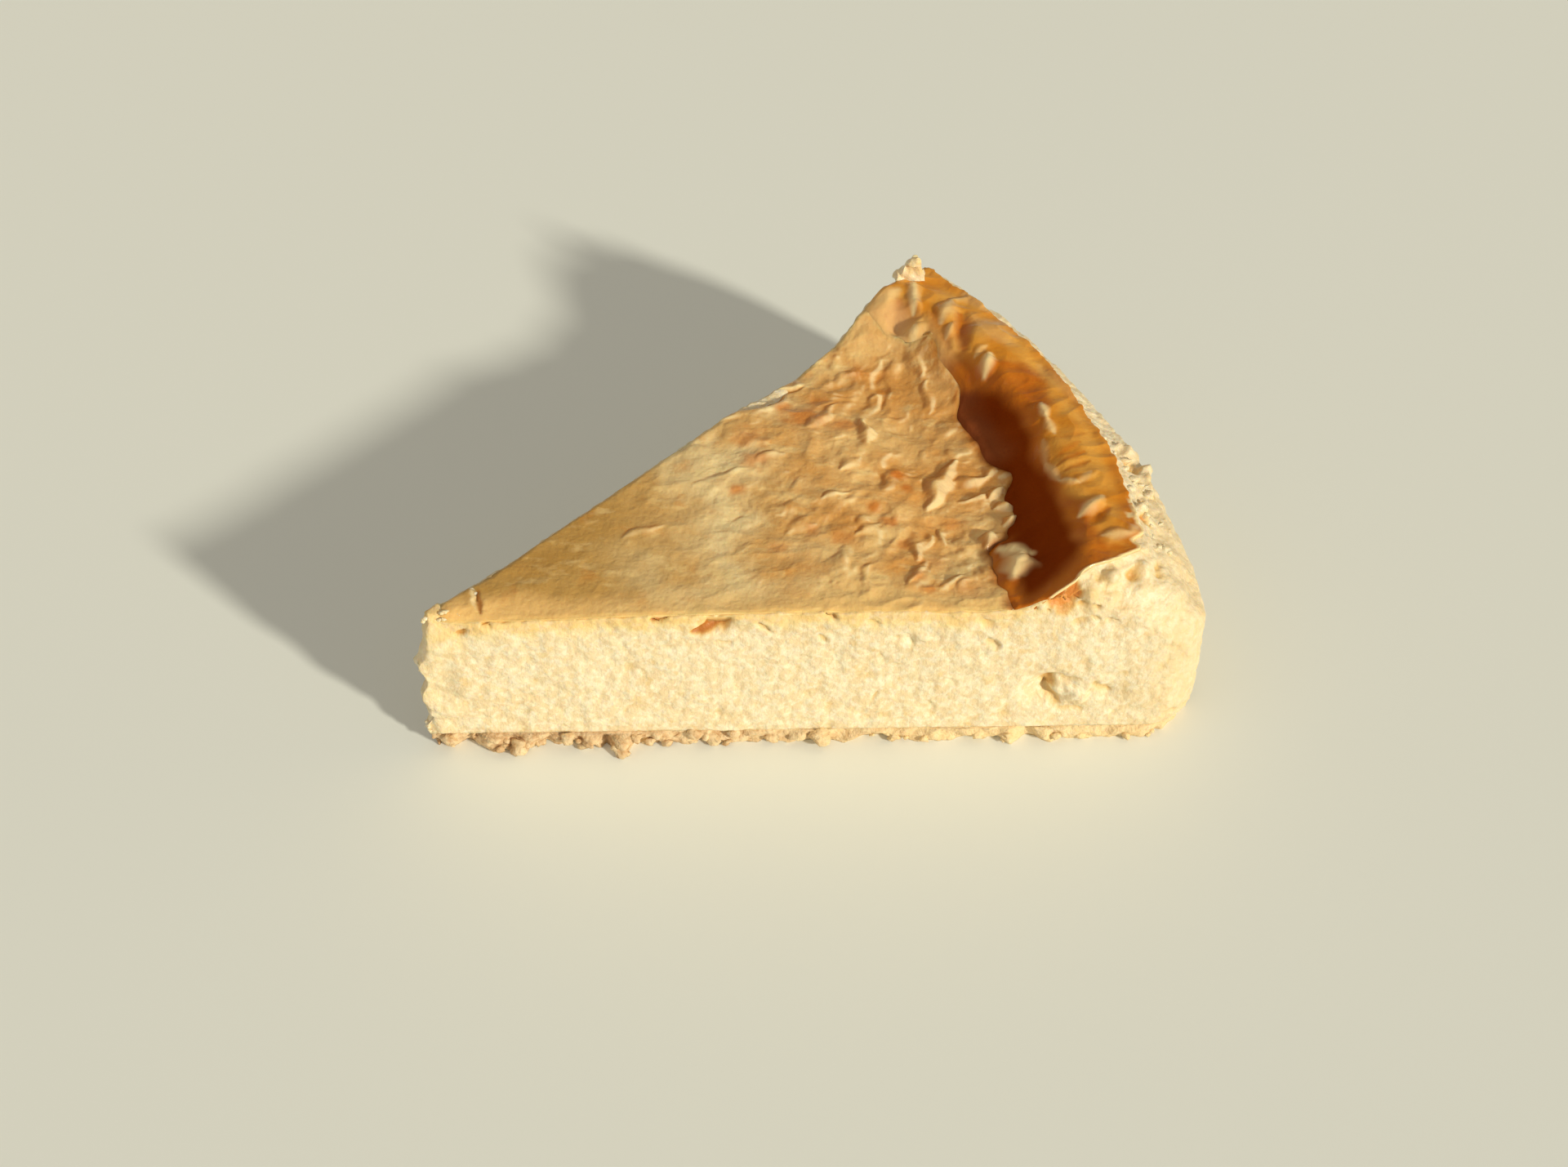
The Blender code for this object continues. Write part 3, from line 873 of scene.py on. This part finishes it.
def roughen_filling(bm, hidden):
    """Gives the filling its curds, crumb and pits, and its sides their unevenness."""
    torn, gap_shade, toast = (bm.verts.layers.float[name] for name in ("torn", "gap_shade", "toast"))
    bm.normal_update()
    moves = []
    for vert in bm.verts:
        if vert in hidden or vert.co.z < FILLING_FLOOR + 0.01:
            continue
        x, y, z = vert.co
        fine, fine_gap_shade = curds(x, y, z)
        coarse, coarse_gap_shade = broken_crumb(x, y, z)
        depth, vert[toast] = placed_pits(x, y, z)
        open_crumb = vert[torn]
        above_floor = smooth(FILLING_FLOOR - 0.8, FILLING_FLOOR + 0.8, z)
        relief = mix(fine, coarse, open_crumb) * above_floor - depth
        vert[gap_shade] = mix(fine_gap_shade, coarse_gap_shade, open_crumb)
        move = vert.normal * relief
        if vert.normal.z < 0.8:
            sideways = Vector((vert.normal.x, vert.normal.y, 0.0)).normalized()
            move += sideways * side_relief(x, y, z) * smooth(0.8, 0.4, vert.normal.z)
        moves.append((vert, move))
    for vert, move in moves:
        vert.co += move


def make_filling(material):
    """The baked filling: cut faces, wall, and the crumb where the skin is gone."""
    bm = closed_wedge(FILLING_CELLS, FILLING_ROWS)
    refine(bm, lambda middle: face_shows(middle, 4.0))
    refine(bm, lambda middle: face_shows(middle, 2.4))
    refine(bm, lambda middle: face_shows(middle, 1.4, back_too=False))
    hidden = place_filling(bm)
    roughen_filling(bm, hidden)
    finish_piece("filling_crumb", bm, material, "baked_filling", "filling")


def edge_reach(share):
    """The radius of the skin's torn outer edge, found by halving the span it lies in."""
    angle = SLICE_ANGLE * share
    low, high = 70.0, 119.0
    for _ in range(18):
        middle = (low + high) / 2.0
        if skin_margin(*around_axis(middle, angle)) > 0.0:
            low = middle
        else:
            high = middle
    around = share * TORN_EDGE_LENGTH
    low = min(low, mix(CORNER_SKIN_END, 120.0, smooth(0.1, 0.2, share)))
    wavy = mix(1.6, 0.4, smooth(0.1, 0.2, share)) * grain(around, 0.0, 0.0, 2.4, 4.2)
    return low + wavy + 0.3 * grain(around, 0.0, 0.0, 0.8, 5.7)


def parchment_reach(share):
    """The radius of the dry skin's ragged edge at a share of the slice's angle."""
    around = share * PARCHMENT_EDGE_LENGTH
    ragged = 1.1 * grain(around, 0.0, 0.0, 5.0, 2.6) + 0.7 * grain(around, 0.0, 0.0, 2.2, 3.3)
    ragged *= smooth(0.0, 0.06, share) * mix(1.0, 0.35, smooth(0.38, 0.44, share))
    return follow(PARCHMENT_EDGE, share) + ragged


def skin_angle(radius, share, inward=0.0):
    """The angle at a share of the skin's width, which stops just short of both cuts."""
    inset = (SHEET_INSET + inward) / radius
    return mix(inset, SLICE_ANGLE - inset, share)


def tuck(x, y):
    """How far the skin's top dips under the filling's crumb at the cuts and the point."""
    return 0.25 * smooth(0.3, -0.5, from_skin_start(x, y))


def skin_underside(top, form, from_edge):
    """The skin's hidden underside, thin at a torn edge and bedded in the filling elsewhere."""
    bedded = form - mix(SKIN_THICKNESS, SKIN_THICKNESS + SKIN_BEDDING, smooth(0.0, 4.0, from_edge))
    return min(top - SKIN_THICKNESS, bedded)


def parchment_edge(x, y, share, from_edge):
    """(lift, darkening) of the dry skin near its ragged edge, which curls up or dips, and darkens
    with scorching and the rim's painted shadow.
    """
    crisp = smooth(0.24, 0.3, share) * smooth(0.46, 0.4, share)
    patch = max(grain(x, y, 0.0, 5.0, 9.9), 0.0)
    dip = mix(1.0, 0.1, smooth(0.72, 0.8, share)) * smooth(2.2, 0.0, from_edge)
    lift = 0.5 * crisp * patch * bump(2.0, 1.6, from_edge) - dip
    uneven = from_edge + 1.0 * grain(x, y, 0.0, 3.0, 4.9)
    # Darker towards the edge: scorched skin and the rim's painted shadow.
    stain_and_shadow = smooth(mix(3.6, 1.9, crisp), mix(1.0, 0.2, crisp), uneven)
    stain_and_shadow = max(0.85 * stain_and_shadow, smooth(1.0, 0.2, from_edge))
    return lift, stain_and_shadow * smooth(0.75, 0.62, share)


def make_parchment(material):
    """The dry, wrinkled skin from the point to its ragged edge inside the rim."""
    bm = closed_wedge(PARCHMENT_CELLS, 1)
    for _ in range(HALVINGS):
        refine(bm, lambda middle: middle.z > 0.001)
    lee_shade, lit_highlight, spot, edge, scorch_and_shadow = add_layers(bm, "lee_shade", "lit_highlight", "spot", "edge", "scorch_and_shadow")
    reach_at = looked_up(parchment_reach, PARCHMENT_STEPS)
    for vert in bm.verts:
        u, v, w = vert.co
        share = v / u if u > 0.0 else 0.5
        reach = reach_at(share)
        # The rows up the sheet's side lie on its floor too, out of sight.
        on_floor = w < 0.6
        inward = SKIN_UNDERCUT if on_floor else 0.0
        start = SKIN_START_RADIUS - POINT_OVERLAP + inward
        radius = start + (reach - inward - start) * u
        x, y = around_axis(radius, skin_angle(radius, share, inward))
        if on_floor:
            vert[edge] = 1.0
            vert.co = (x, y, SKIN_FLOOR)
            continue
        # Painted shade and painted highlight, by how the wrinkles turn from the light or to it.
        detail, vert[lee_shade], vert[lit_highlight] = slopes(wrinkle_height, x, y)
        from_edge = reach - radius
        detail *= mix(1.0, smooth(0.0, 4.0, from_edge), smooth(0.4, 0.48, share))
        lift, vert[scorch_and_shadow] = parchment_edge(x, y, share, from_edge)
        vert[spot] = spotted(x, y)
        vert[edge] = smooth(7.0, 1.0, y + 2.2 * grain(x, y, 0.0, 6.0, 5.2))
        z = soft_form(x, y) + detail + lift - tuck(x, y)
        vert.co = (x - tip_drag(x, y, z), y, z)
    bmesh.ops.remove_doubles(bm, verts=bm.verts, dist=0.001)
    finish_piece("parchment_skin", bm, material, "baked_filling", "filling")


def rim_tint(x, y, radius, share, outer, margin):
    """(dark brown with painted shadow, amber, pale with painted highlights) of the glossy skin, from
    0 to 1 each.
    """
    ragged = radius + 1.1 * grain(x, y, 0.0, 4.0, 7.3)
    low_end = smooth(0.26, 0.17, share)
    pale_fold_and_highlight, amber_fold = fold_tint(x, y)
    dark_edge = follow(DARK_EDGE, share)
    # Dark brown of scorched skin and of painted shadow cast by the rim over the sunken ring.
    dark = smooth(dark_edge + 1.3, dark_edge - 1.3, ragged) * smooth(0.74, 0.68, share)
    dark *= mix(1.0, smooth(0.4, -2.6, margin), low_end)
    dark *= mix(1.0, smooth(1.0, 5.5, skin_margin(x, y)), low_end)
    amber_edge = follow(AMBER_EDGE, share)
    at_edge = mix(0.35, 0.9, low_end) * smooth(mix(2.6, 4.5, low_end), 0.6, outer - radius)
    amber = max(smooth(amber_edge + 1.4, amber_edge - 1.6, ragged), amber_fold, at_edge)
    thin_edge = smooth(0.9, 0.2, outer - radius) * smooth(0.24, 0.18, share)
    near_back = 0.5 * smooth(0.72, 0.8, share) * smooth(109.0, 103.0, ragged)
    inner_light = 0.05 * dark * smooth(-4.5, -0.5, margin) * smooth(0.44, 0.5, share)
    pale = max(pale_fold_and_highlight, thin_edge, near_back, inner_light)
    return dark * (1.0 - pale_fold_and_highlight), amber, pale


def make_rim(material):
    """The glossy folded skin that climbs the raised rim and ends in a torn edge."""
    bm = cut_slab(*RIM_CELLS)
    for _ in range(RIM_HALVINGS):
        refine(bm, lambda middle: middle.z > 0.001)
    lee_shade, lit_highlight, pale, amber, scorch_and_shadow = add_layers(bm, "lee_shade", "lit_highlight", "pale", "amber", "scorch_and_shadow")
    outer_at = looked_up(edge_reach, TORN_EDGE_STEPS)
    for vert in bm.verts:
        share, outward, w = vert.co
        outer = outer_at(share)
        inner = min(follow(PARCHMENT_EDGE, share) - RIM_OVERLAP, outer - 0.8)
        radius = mix(inner, outer, outward)
        x, y = around_axis(radius, skin_angle(radius, share))
        form = soft_form(x, y)
        # Painted shade and painted highlight, by how the folds turn from the light or to it.
        detail, vert[lee_shade], vert[lit_highlight] = slopes(fold_height, x, y)
        margin = parchment_margin(x, y) + 1.2 * grain(x, y, 0.0, 4.0, 2.0)
        vert[scorch_and_shadow], vert[amber], vert[pale] = rim_tint(x, y, radius, share, outer, margin)
        from_edge = outer - radius
        lift = smooth(2.0, 0.0, from_edge) * (0.1 + 0.6 * max(grain(x, y, 0.0, 4.0, 9.9), 0.0))
        buried = 0.8 * smooth(0.3, 2.2, margin)
        top = form + detail * smooth(1.0, -0.8, margin) + lift - buried - tuck(x, y)
        z = top if w > 0.5 else skin_underside(top, form, from_edge)
        vert.co = (x - tip_drag(x, y, z), y, z)
    bmesh.ops.remove_doubles(bm, verts=bm.verts, dist=0.001)
    finish_piece("rim_skin", bm, material, "baked_filling", "filling")


def make_flake(material):
    """The torn lump that stands up on the back corner, highest towards its right end."""
    bm = cut_slab(*FLAKE_CELLS)
    for _ in range(HALVINGS):
        refine(bm, lambda middle: True)
    torn, _, toast, yolk = add_layers(bm, *CREAM_LAYERS)
    for vert in bm.verts:
        u, v, w = vert.co
        rise = 1.3 + 3.0 * smooth(0.05, 0.7, u) - 1.6 * smooth(0.8, 1.0, u)
        x = FLAKE_CENTRE[0] + FLAKE_LENGTH * (u - 0.5) * (1.0 - 0.25 * v)
        y = FLAKE_CENTRE[1] - 0.5 + mix(1.9, 0.9, v) * (w - 0.5)
        z = FLAKE_CENTRE[2] - 1.2 + rise * v
        vert[torn] = 0.6
        vert[toast] = 0.35 * smooth(0.1, 0.5, grain(x, y, z, 1.6, 3.7))
        vert[yolk] = smooth(0.4, 0.9, u) * smooth(0.3, 0.8, v)
        x += 0.7 * grain(x, y, z, 1.5, 5.0)
        y += 0.7 * grain(x, y, z, 1.3, 8.0)
        z += 0.8 * grain(x, y, z, 1.4, 2.0)
        vert.co = (x, y, z)
    finish_piece("corner_flake", bm, material, "baked_filling", "filling")


def add_crumb(bm, centre, size, seed):
    """Adds one small rough crumb to a bmesh."""
    shape = bmesh.ops.create_icosphere(bm, subdivisions=2, radius=1.0)
    squash = Vector((1.0, 0.85 + 0.3 * grain(seed, 0.0, 0.0, 1.7), 0.75))
    for vert in shape["verts"]:
        x, y, z = vert.co + Vector((seed, 2.0 * seed, 0.0))
        rough = 1.0 + 0.9 * grain(x, y, z, 1.1) + 0.25 * curd(x, y, z, 0.7, 1.1)
        vert.co = Vector(centre) + vert.co * squash * size * rough


def make_crumbs(material):
    """The crumbs that cling to the shoulder, the burrs and the point."""
    rng = random.Random(7)
    bm = bmesh.new()
    add_layers(bm, *CREAM_LAYERS)
    for index in range(SHOULDER_CRUMBS):
        share = rng.uniform(0.12, 0.42)
        radius = edge_reach(share) + rng.uniform(0.4, 5.5)
        if radius > SHOULDER_RADIUS - 0.6:
            continue
        x, y = around_axis(radius, skin_angle(radius, share))
        size = rng.choice((0.35, 0.45, 0.6, 0.9))
        add_crumb(bm, (x, y, filling_top(x, y)), size, index * 3.7)
    for index, (height, _, half) in enumerate(BURRS):
        for _ in range(BURR_CRUMBS):
            z = height + rng.uniform(-half, half) * 0.5
            x = 1.9 - tip_drag(1.9, 0.7, z) + rng.uniform(0.0, 0.8)
            add_crumb(bm, (x, rng.uniform(0.3, 1.1), z), rng.uniform(0.35, 0.6), 900.0 + index + z)
    for index in range(POINT_CRUMBS):
        x = rng.uniform(-1.0, 5.0)
        y = rng.uniform(0.1, 0.6) * max(x, 1.0) * 0.8
        centre = (x, y, filling_top(max(x, 2.0), y))
        add_crumb(bm, centre, rng.uniform(0.3, 0.5), 40.0 + index)
    finish_piece("clinging_crumbs", bm, material, "baked_filling", "filling")


def base_point(along, z):
    """(x, y, way out) at the base's edge: along is 0 to 1 on the front, then wall, then back."""
    side, share = int(along), along - int(along)
    u, v = ((share, 0.0), (1.0, share), (1.0 - share, 1.0 - share))[side]
    x, y = plan_point(u, v, wall_radius(z) - BASE_INSET)
    slant = math.sqrt(0.5)
    outward = ((0.0, -1.0), (x / CAKE_RADIUS, y / CAKE_RADIUS), (-slant, slant))[side]
    return x - tip_drag(x, y, z), y, outward


def make_foot_crumbs(material):
    """Crumbs pressed into the ragged edge of the base."""
    rng = random.Random(11)
    bm = bmesh.new()
    add_layers(bm, "gap_shade")
    for index in range(FOOT_CRUMBS):
        along = rng.uniform(0.01, 2.99)
        size = rng.choice((0.4, 0.55, 0.75, 1.0, 1.35))
        if index % 2 and along < 1.0:
            along *= 0.4
            size *= 1.15
        z = rng.uniform(0.5 * size, 2.7)
        x, y, outward = base_point(along, z)
        out = base_relief(x, y, z) + rng.uniform(-0.45, 0.25) * size
        centre = (x + outward[0] * out, y + outward[1] * out, max(z, 0.8 * size))
        add_crumb(bm, centre, size, index * 2.9)
    for vert in bm.verts:
        vert.co.z = max(vert.co.z, 0.0)
    finish_piece("foot_crumbs", bm, material, "crumb_base", "base_crust")


def make_base(material):
    """The thin crumb base with its ragged foot."""
    bm = closed_wedge(BASE_CELLS, BASE_ROWS)
    inner = [v for v in bm.verts if v.co.z == 1.0 and 0.0 < v.co.y < v.co.x < 1.0]
    bmesh.ops.dissolve_verts(bm, verts=inner)
    for _ in range(HALVINGS):
        refine(bm, lambda middle: 0.001 < middle.z < 0.999)
    (gap_shade,) = add_layers(bm, "gap_shade")
    for vert in bm.verts:
        u, v, w = vert.co
        z = BASE_THICKNESS * w
        x, y = plan_point(u, v, wall_radius(z) - BASE_INSET)
        z += 0.35 * w * grain(x, y, 0.0, 2.0, 9.2)
        vert.co = (x - tip_drag(x, y, z), y, z)
    bm.normal_update()
    moves = []
    for vert in bm.verts:
        x, y, z = vert.co
        sideways = Vector((vert.normal.x, vert.normal.y, 0.0)).normalized()
        warp = 0.6 * grain(x, y, z, 1.7, 2.2)
        large = curd(x + warp, y, z + warp, 2.7, 1.3)
        small = curd(x - warp, y, z, 1.2, 8.1)
        under = smooth(1.1, 0.0, z) * (0.5 + 0.8 * grain(x, y, 0.0, 2.6, 4.4))
        coarse = mix(1.0, 0.5, smooth(25.0, 55.0, x))
        relief = coarse * (0.6 * large + 0.35 * small - 0.45) - 0.9 * max(under, 0.0)
        # Where painted shade goes, in the gaps between lumps.
        vert[gap_shade] = coarse * smooth(0.4, -0.8, 0.6 * large + 0.5 * small)
        moves.append((vert, sideways * (base_relief(x, y, z) + relief)))
    for vert, move in moves:
        vert.co += move
    finish_piece("crumb_base", bm, material, "crumb_base", "base_crust")


# Shader expressions.


class Socket:
    """A node's output that can be used in sums and products."""

    def __init__(self, maker, output):
        self.maker = maker
        self.output = output

    def with_other(self, operation, other):
        """The output of a maths node that takes this output and another value."""
        return self.maker.node("ShaderNodeMath", {"operation": operation}, (self, other))

    def __add__(self, other):
        return self.with_other("ADD", other)

    def __mul__(self, other):
        return self.with_other("MULTIPLY", other)


class Maker:
    """Builds one material's nodes round a Principled shader."""

    def __init__(self, name):
        self.material = bpy.data.materials.new(name)
        self.material.use_nodes = True
        self.tree = self.material.node_tree
        self.shader = self.tree.nodes["Principled BSDF"]
        self.place = self.node("ShaderNodeTexCoord", output="Object")
        self.colour = None

    def node(self, kind, settings=None, values=(), output=0):
        """Adds a node, sets it up and returns one of its outputs."""
        made = self.tree.nodes.new(kind)
        for key, setting in (settings or {}).items():
            setattr(made, key, setting)
        pairs = values.items() if isinstance(values, dict) else enumerate(values)
        for key, value in pairs:
            self.put(made.inputs[key], value)
        return Socket(self, made.outputs[output])

    def put(self, target, value):
        """Links a socket, or sets a plain value."""
        if isinstance(value, Socket):
            self.tree.links.new(value.output, target)
        else:
            target.default_value = value

    def set(self, **values):
        """Sets inputs of the shader; an underscore in a name stands for a space."""
        for name, value in values.items():
            self.put(self.shader.inputs[name.replace("_", " ")], value)

    def along(self, axis):
        """The place along the part's axis 0, 1 or 2, in metres."""
        return self.node("ShaderNodeSeparateXYZ", None, (self.place,), output=axis)

    def stretched(self, x, y, z):
        """Object coordinates in millimetres, each multiplied by its own factor."""
        factors = (x / MM, y / MM, z / MM)
        return self.node("ShaderNodeVectorMath", {"operation": "MULTIPLY"}, (self.place, factors))

    def noise(self, size, detail=2.0, place=None):
        """Noise from 0 to 1 with lumps of about size millimetres."""
        place = place or self.stretched(1.0, 1.0, 1.0)
        values = {"Vector": place, "Scale": 1.0 / size, "Detail": detail}
        return self.node("ShaderNodeTexNoise", None, values)

    def step(self, value, low, high):
        """0 where value is at low, 1 where it is at high, and a soft step between."""
        values = {"Value": value, "From Min": low, "From Max": high}
        return self.node("ShaderNodeMapRange", {"interpolation_type": "SMOOTHSTEP"}, values)

    def carried(self, name):
        """A number that the mesh carries at each point."""
        return self.node("ShaderNodeAttribute", {"attribute_name": name}, output="Fac")

    def blend(self, first, second, share):
        """Mixes two colours, which are inputs 6 and 7 of the node; output 2 is the mix."""
        colours = [c if isinstance(c, Socket) else (*c, 1.0) for c in (first, second)]
        values = {0: share, 6: colours[0], 7: colours[1]}
        return self.node("ShaderNodeMix", {"data_type": "RGBA"}, values, output=2)

    def paint(self, colour, share):
        """Lays a colour over the material's colour so far."""
        self.colour = self.blend(self.colour, colour, share)

    def bump(self, height, depth):
        """A normal from a height; depth is in millimetres for a height of 1."""
        return self.node("ShaderNodeBump", None, {"Distance": depth * MM, "Height": height})


def cream_material():
    """Pale crumb with curds, yellow under the skin, toasted in its pits, with painted shade in its
    gaps.
    """
    make = Maker("baked cream")
    torn = make.carried("torn")
    gap_shade = make.carried("gap_shade")
    mottle = make.noise(9.0, 3.0)
    make.colour = make.blend((0.83, 0.64, 0.36), (0.87, 0.73, 0.48), mottle)
    pale_lumps = make.step(make.noise(2.6, 2.0), 0.48, 0.66)
    make.paint((0.92, 0.83, 0.60), pale_lumps * 0.6)
    pale_curds = make.step(make.noise(1.2, 3.0), 0.45, 0.62)
    make.paint((0.95, 0.88, 0.67), pale_curds * 0.6)
    yolk = make.carried("yolk")
    yellow = yolk * make.step(make.noise(1.6, 3.0), 0.3, 0.6)
    make.paint((0.90, 0.68, 0.25), yellow * 0.7)
    make.paint((0.90, 0.57, 0.21), make.step(yolk, 0.75, 1.0) * 0.45)
    specks = make.step(make.noise(2.3, 1.0), 0.66, 0.74)
    make.paint((0.82, 0.56, 0.20), specks * 0.4)
    make.paint((0.87, 0.70, 0.41), torn * 0.5)
    # Painted shade in the gaps between curds and crags.
    make.paint((0.78, 0.53, 0.20), gap_shade * (torn * 0.2 + 0.6))
    along_x = make.along(0)
    make.paint((0.78, 0.60, 0.32), make.step(along_x, 0.048, 0.060) * 0.5)
    toast = make.carried("toast")
    make.paint((0.76, 0.50, 0.16), make.step(toast, 0.0, 0.8))
    browned = make.blend((0.52, 0.19, 0.03), (0.78, 0.31, 0.06), torn)
    make.paint(browned, make.step(toast, 0.45, 0.95))
    fine = make.noise(0.5, 3.0)
    lumps = make.noise(1.1, 2.0)
    streaks = make.noise(1.0, 2.0, make.stretched(1.6, 1.6, 0.3))
    make.set(
        Base_Color=make.colour,
        Roughness=0.5,
        Subsurface_Weight=0.25,
        Subsurface_Radius=(1.0, 0.6, 0.25),
        Subsurface_Scale=0.0008,
        Normal=make.bump(fine * 0.4 + lumps * 0.8 + streaks * 0.25, 0.3),
    )
    return make.material


def parchment_material():
    """Dry skin: tan at the point, mottled gold, with painted shade and highlights on its wrinkles,
    and scorched dark with painted shadow at its edge.
    """
    make = Maker("dry browned skin")
    edge = make.carried("edge")
    along_x = make.along(0)
    mottle = make.step(make.noise(11.0, 3.0), 0.35, 0.65)
    # Paler gold towards the point, partly a painted sheen.
    left = make.blend((0.76, 0.47, 0.17), (0.93, 0.72, 0.37), mottle)
    right = make.blend((0.76, 0.38, 0.10), (0.91, 0.60, 0.24), mottle)
    make.colour = make.blend(left, right, make.step(along_x, -0.016, 0.008))
    near_point = make.step(along_x, -0.014, -0.040)
    tan = make.blend((0.48, 0.25, 0.045), (0.62, 0.38, 0.11), make.noise(8.0, 2.0))
    make.paint(tan, near_point * 0.9)
    far = make.step(along_x, 0.006, 0.026) * make.step(make.along(1), -0.018, 0.004)
    make.paint((0.66, 0.31, 0.07), far * 0.65)
    toasty = make.step(make.noise(5.0, 3.0), 0.54, 0.74)
    make.paint((0.76, 0.31, 0.045), toasty * 0.4)
    streak = make.noise(3.2, 3.0, make.stretched(0.7, 1.2, 1.0))
    make.paint((0.93, 0.70, 0.32), make.step(streak, 0.52, 0.72) * 0.5)
    make.paint((0.98, 0.64, 0.25), edge * 0.75)
    # Painted highlight on slopes turned to the light.
    make.paint((0.97, 0.81, 0.48), make.carried("lit_highlight") * 0.6)
    make.paint((0.68, 0.21, 0.02), make.carried("spot") * 0.9)
    # Painted shade on slopes turned from the light.
    make.paint((0.60, 0.21, 0.028), make.carried("lee_shade") * 0.75)
    # Dark brown at the edge: scorched skin and painted shadow.
    scorch_and_shadow = make.carried("scorch_and_shadow")
    scorch_and_shadow_colour = make.blend((0.52, 0.18, 0.015), (0.22, 0.035, 0.001), scorch_and_shadow)
    make.paint(scorch_and_shadow_colour, scorch_and_shadow)
    fine = make.noise(0.8, 3.0)
    soft = make.noise(2.4, 2.0)
    make.set(
        Base_Color=make.colour,
        Roughness=fine * 0.14 + scorch_and_shadow * 0.3 + 0.3,
        Specular_IOR_Level=0.06,
        Coat_Weight=scorch_and_shadow * -0.45 + 0.45,
        Coat_Roughness=0.1,
        Subsurface_Weight=0.55,
        Subsurface_Radius=(1.0, 0.8, 0.6),
        Subsurface_Scale=0.0008,
        Normal=make.bump(fine * 0.35 + soft * 0.9, 0.4),
    )
    return make.material


def rim_material():
    """Glossy skin: orange on the rim, amber below it, and dark brown with painted shadow in the ring;
    pale folds carry painted highlights.
    """
    make = Maker("glossy browned skin")
    pale = make.carried("pale")
    scorch_and_shadow = make.carried("scorch_and_shadow")
    mottle = make.step(make.noise(6.0, 1.0), 0.3, 0.7)
    make.colour = make.blend((0.68, 0.26, 0.018), (0.82, 0.40, 0.065), mottle)
    # Painted highlight on folds turned to the light, and painted shade on folds turned from it.
    light = make.blend((0.86, 0.52, 0.14), (0.93, 0.68, 0.32), make.noise(2.4, 2.0))
    make.paint(light, make.carried("lit_highlight") * 0.25)
    make.paint((0.50, 0.14, 0.006), make.carried("lee_shade") * 0.45)
    honey = make.blend((0.46, 0.095, 0.001), (0.62, 0.19, 0.003), make.noise(3.0, 2.0))
    make.paint(honey, make.carried("amber") * 0.9)
    # Dark brown in the sunken ring: scorched skin and painted shadow from the rim.
    deep = make.blend((0.19, 0.024, 0.0005), (0.27, 0.045, 0.001), make.noise(6.0, 2.0))
    make.paint(deep, scorch_and_shadow)
    # Pale skin on the rim's ridges, partly a painted highlight.
    make.paint((0.94, 0.74, 0.38), pale * 0.9)
    wet = make.noise(1.6, 2.0)
    make.set(
        Base_Color=make.colour,
        Roughness=wet * 0.1 + scorch_and_shadow * 0.4 + 0.35,
        Specular_IOR_Level=0.04,
        Coat_Weight=scorch_and_shadow * -0.45 + 0.45,
        Coat_Roughness=0.12,
        Subsurface_Weight=0.4,
        Subsurface_Radius=(1.0, 0.8, 0.6),
        Subsurface_Scale=0.0008,
        Normal=make.bump(wet, 0.2),
    )
    return make.material


def crumb_material():
    """Dry crumb, browner towards the point and golden towards the rim, with painted shade in its
    gaps.
    """
    make = Maker("pressed crumb")
    gap_shade = make.carried("gap_shade")
    along_x = make.along(0)
    mottle = make.step(make.noise(2.2, 2.0), 0.3, 0.7)
    make.colour = make.blend((0.58, 0.35, 0.16), (0.84, 0.62, 0.36), mottle)
    golden = make.step(along_x, -0.03, 0.03)
    make.paint((0.90, 0.67, 0.35), golden * 0.85)
    grains = make.step(make.noise(1.0, 2.0), 0.4, 0.7)
    make.paint((0.90, 0.72, 0.45), grains * 0.6)
    # Painted shade in the gaps between the crumb's lumps.
    make.paint((0.42, 0.21, 0.08), gap_shade * 0.7)
    make.set(
        Base_Color=make.colour,
        Roughness=0.7,
        Subsurface_Weight=0.1,
        Subsurface_Radius=(1.0, 0.5, 0.2),
        Subsurface_Scale=0.0015,
        Normal=make.bump(make.noise(0.6, 3.0), 0.4),
    )
    return make.material


# Camera, floor and light.


def add_camera():
    """The camera looks down at about 45 degrees, a little from the left."""
    data = bpy.data.cameras.new("camera")
    data.sensor_width = 36.0
    data.lens = CAMERA_LENS
    camera = add_object("camera", data)
    camera.location = CAMERA_PLACE
    roll = Quaternion((0.0, 0.0, 1.0), math.radians(CAMERA_ROLL))
    camera.rotation_mode = "QUATERNION"
    camera.rotation_quaternion = Vector(CAMERA_AIM).to_track_quat("-Z", "Y") @ roll
    bpy.context.scene.camera = camera


def add_sun(name, toward, strength, softness, colour):
    """Even light from one side; softness is how wide the light looks, in degrees."""
    data = bpy.data.lights.new(name, "SUN")
    data.energy = strength
    data.angle = math.radians(softness)
    data.color = colour
    light = add_object(name, data)
    light.rotation_euler = Vector(toward).to_track_quat("Z", "Y").to_euler()


def add_stage():
    """The floor, the room's even light and the suns."""
    bm = bmesh.new()
    bmesh.ops.create_grid(bm, x_segments=1, y_segments=1, size=4.0)
    mesh = bpy.data.meshes.new("floor")
    bm.to_mesh(mesh)
    bm.free()
    floor = add_object("floor", mesh)
    make = Maker("pale floor")
    make.set(Base_Color=FLOOR_COLOUR, Roughness=0.7)
    mesh.materials.append(make.material)
    world = bpy.data.worlds.new("studio")
    world.use_nodes = True
    background = world.node_tree.nodes["Background"]
    background.inputs["Color"].default_value = ROOM_COLOUR
    background.inputs["Strength"].default_value = ROOM_STRENGTH
    bpy.context.scene.world = world
    for sun in SUNS:
        add_sun(*sun)


add_camera()
cream = cream_material()
crust = crumb_material()
make_filling(cream)
make_parchment(parchment_material())
make_rim(rim_material())
make_flake(cream)
make_crumbs(cream)
make_base(crust)
make_foot_crumbs(crust)
add_stage()
bpy.context.scene.view_settings.view_transform = "Standard"
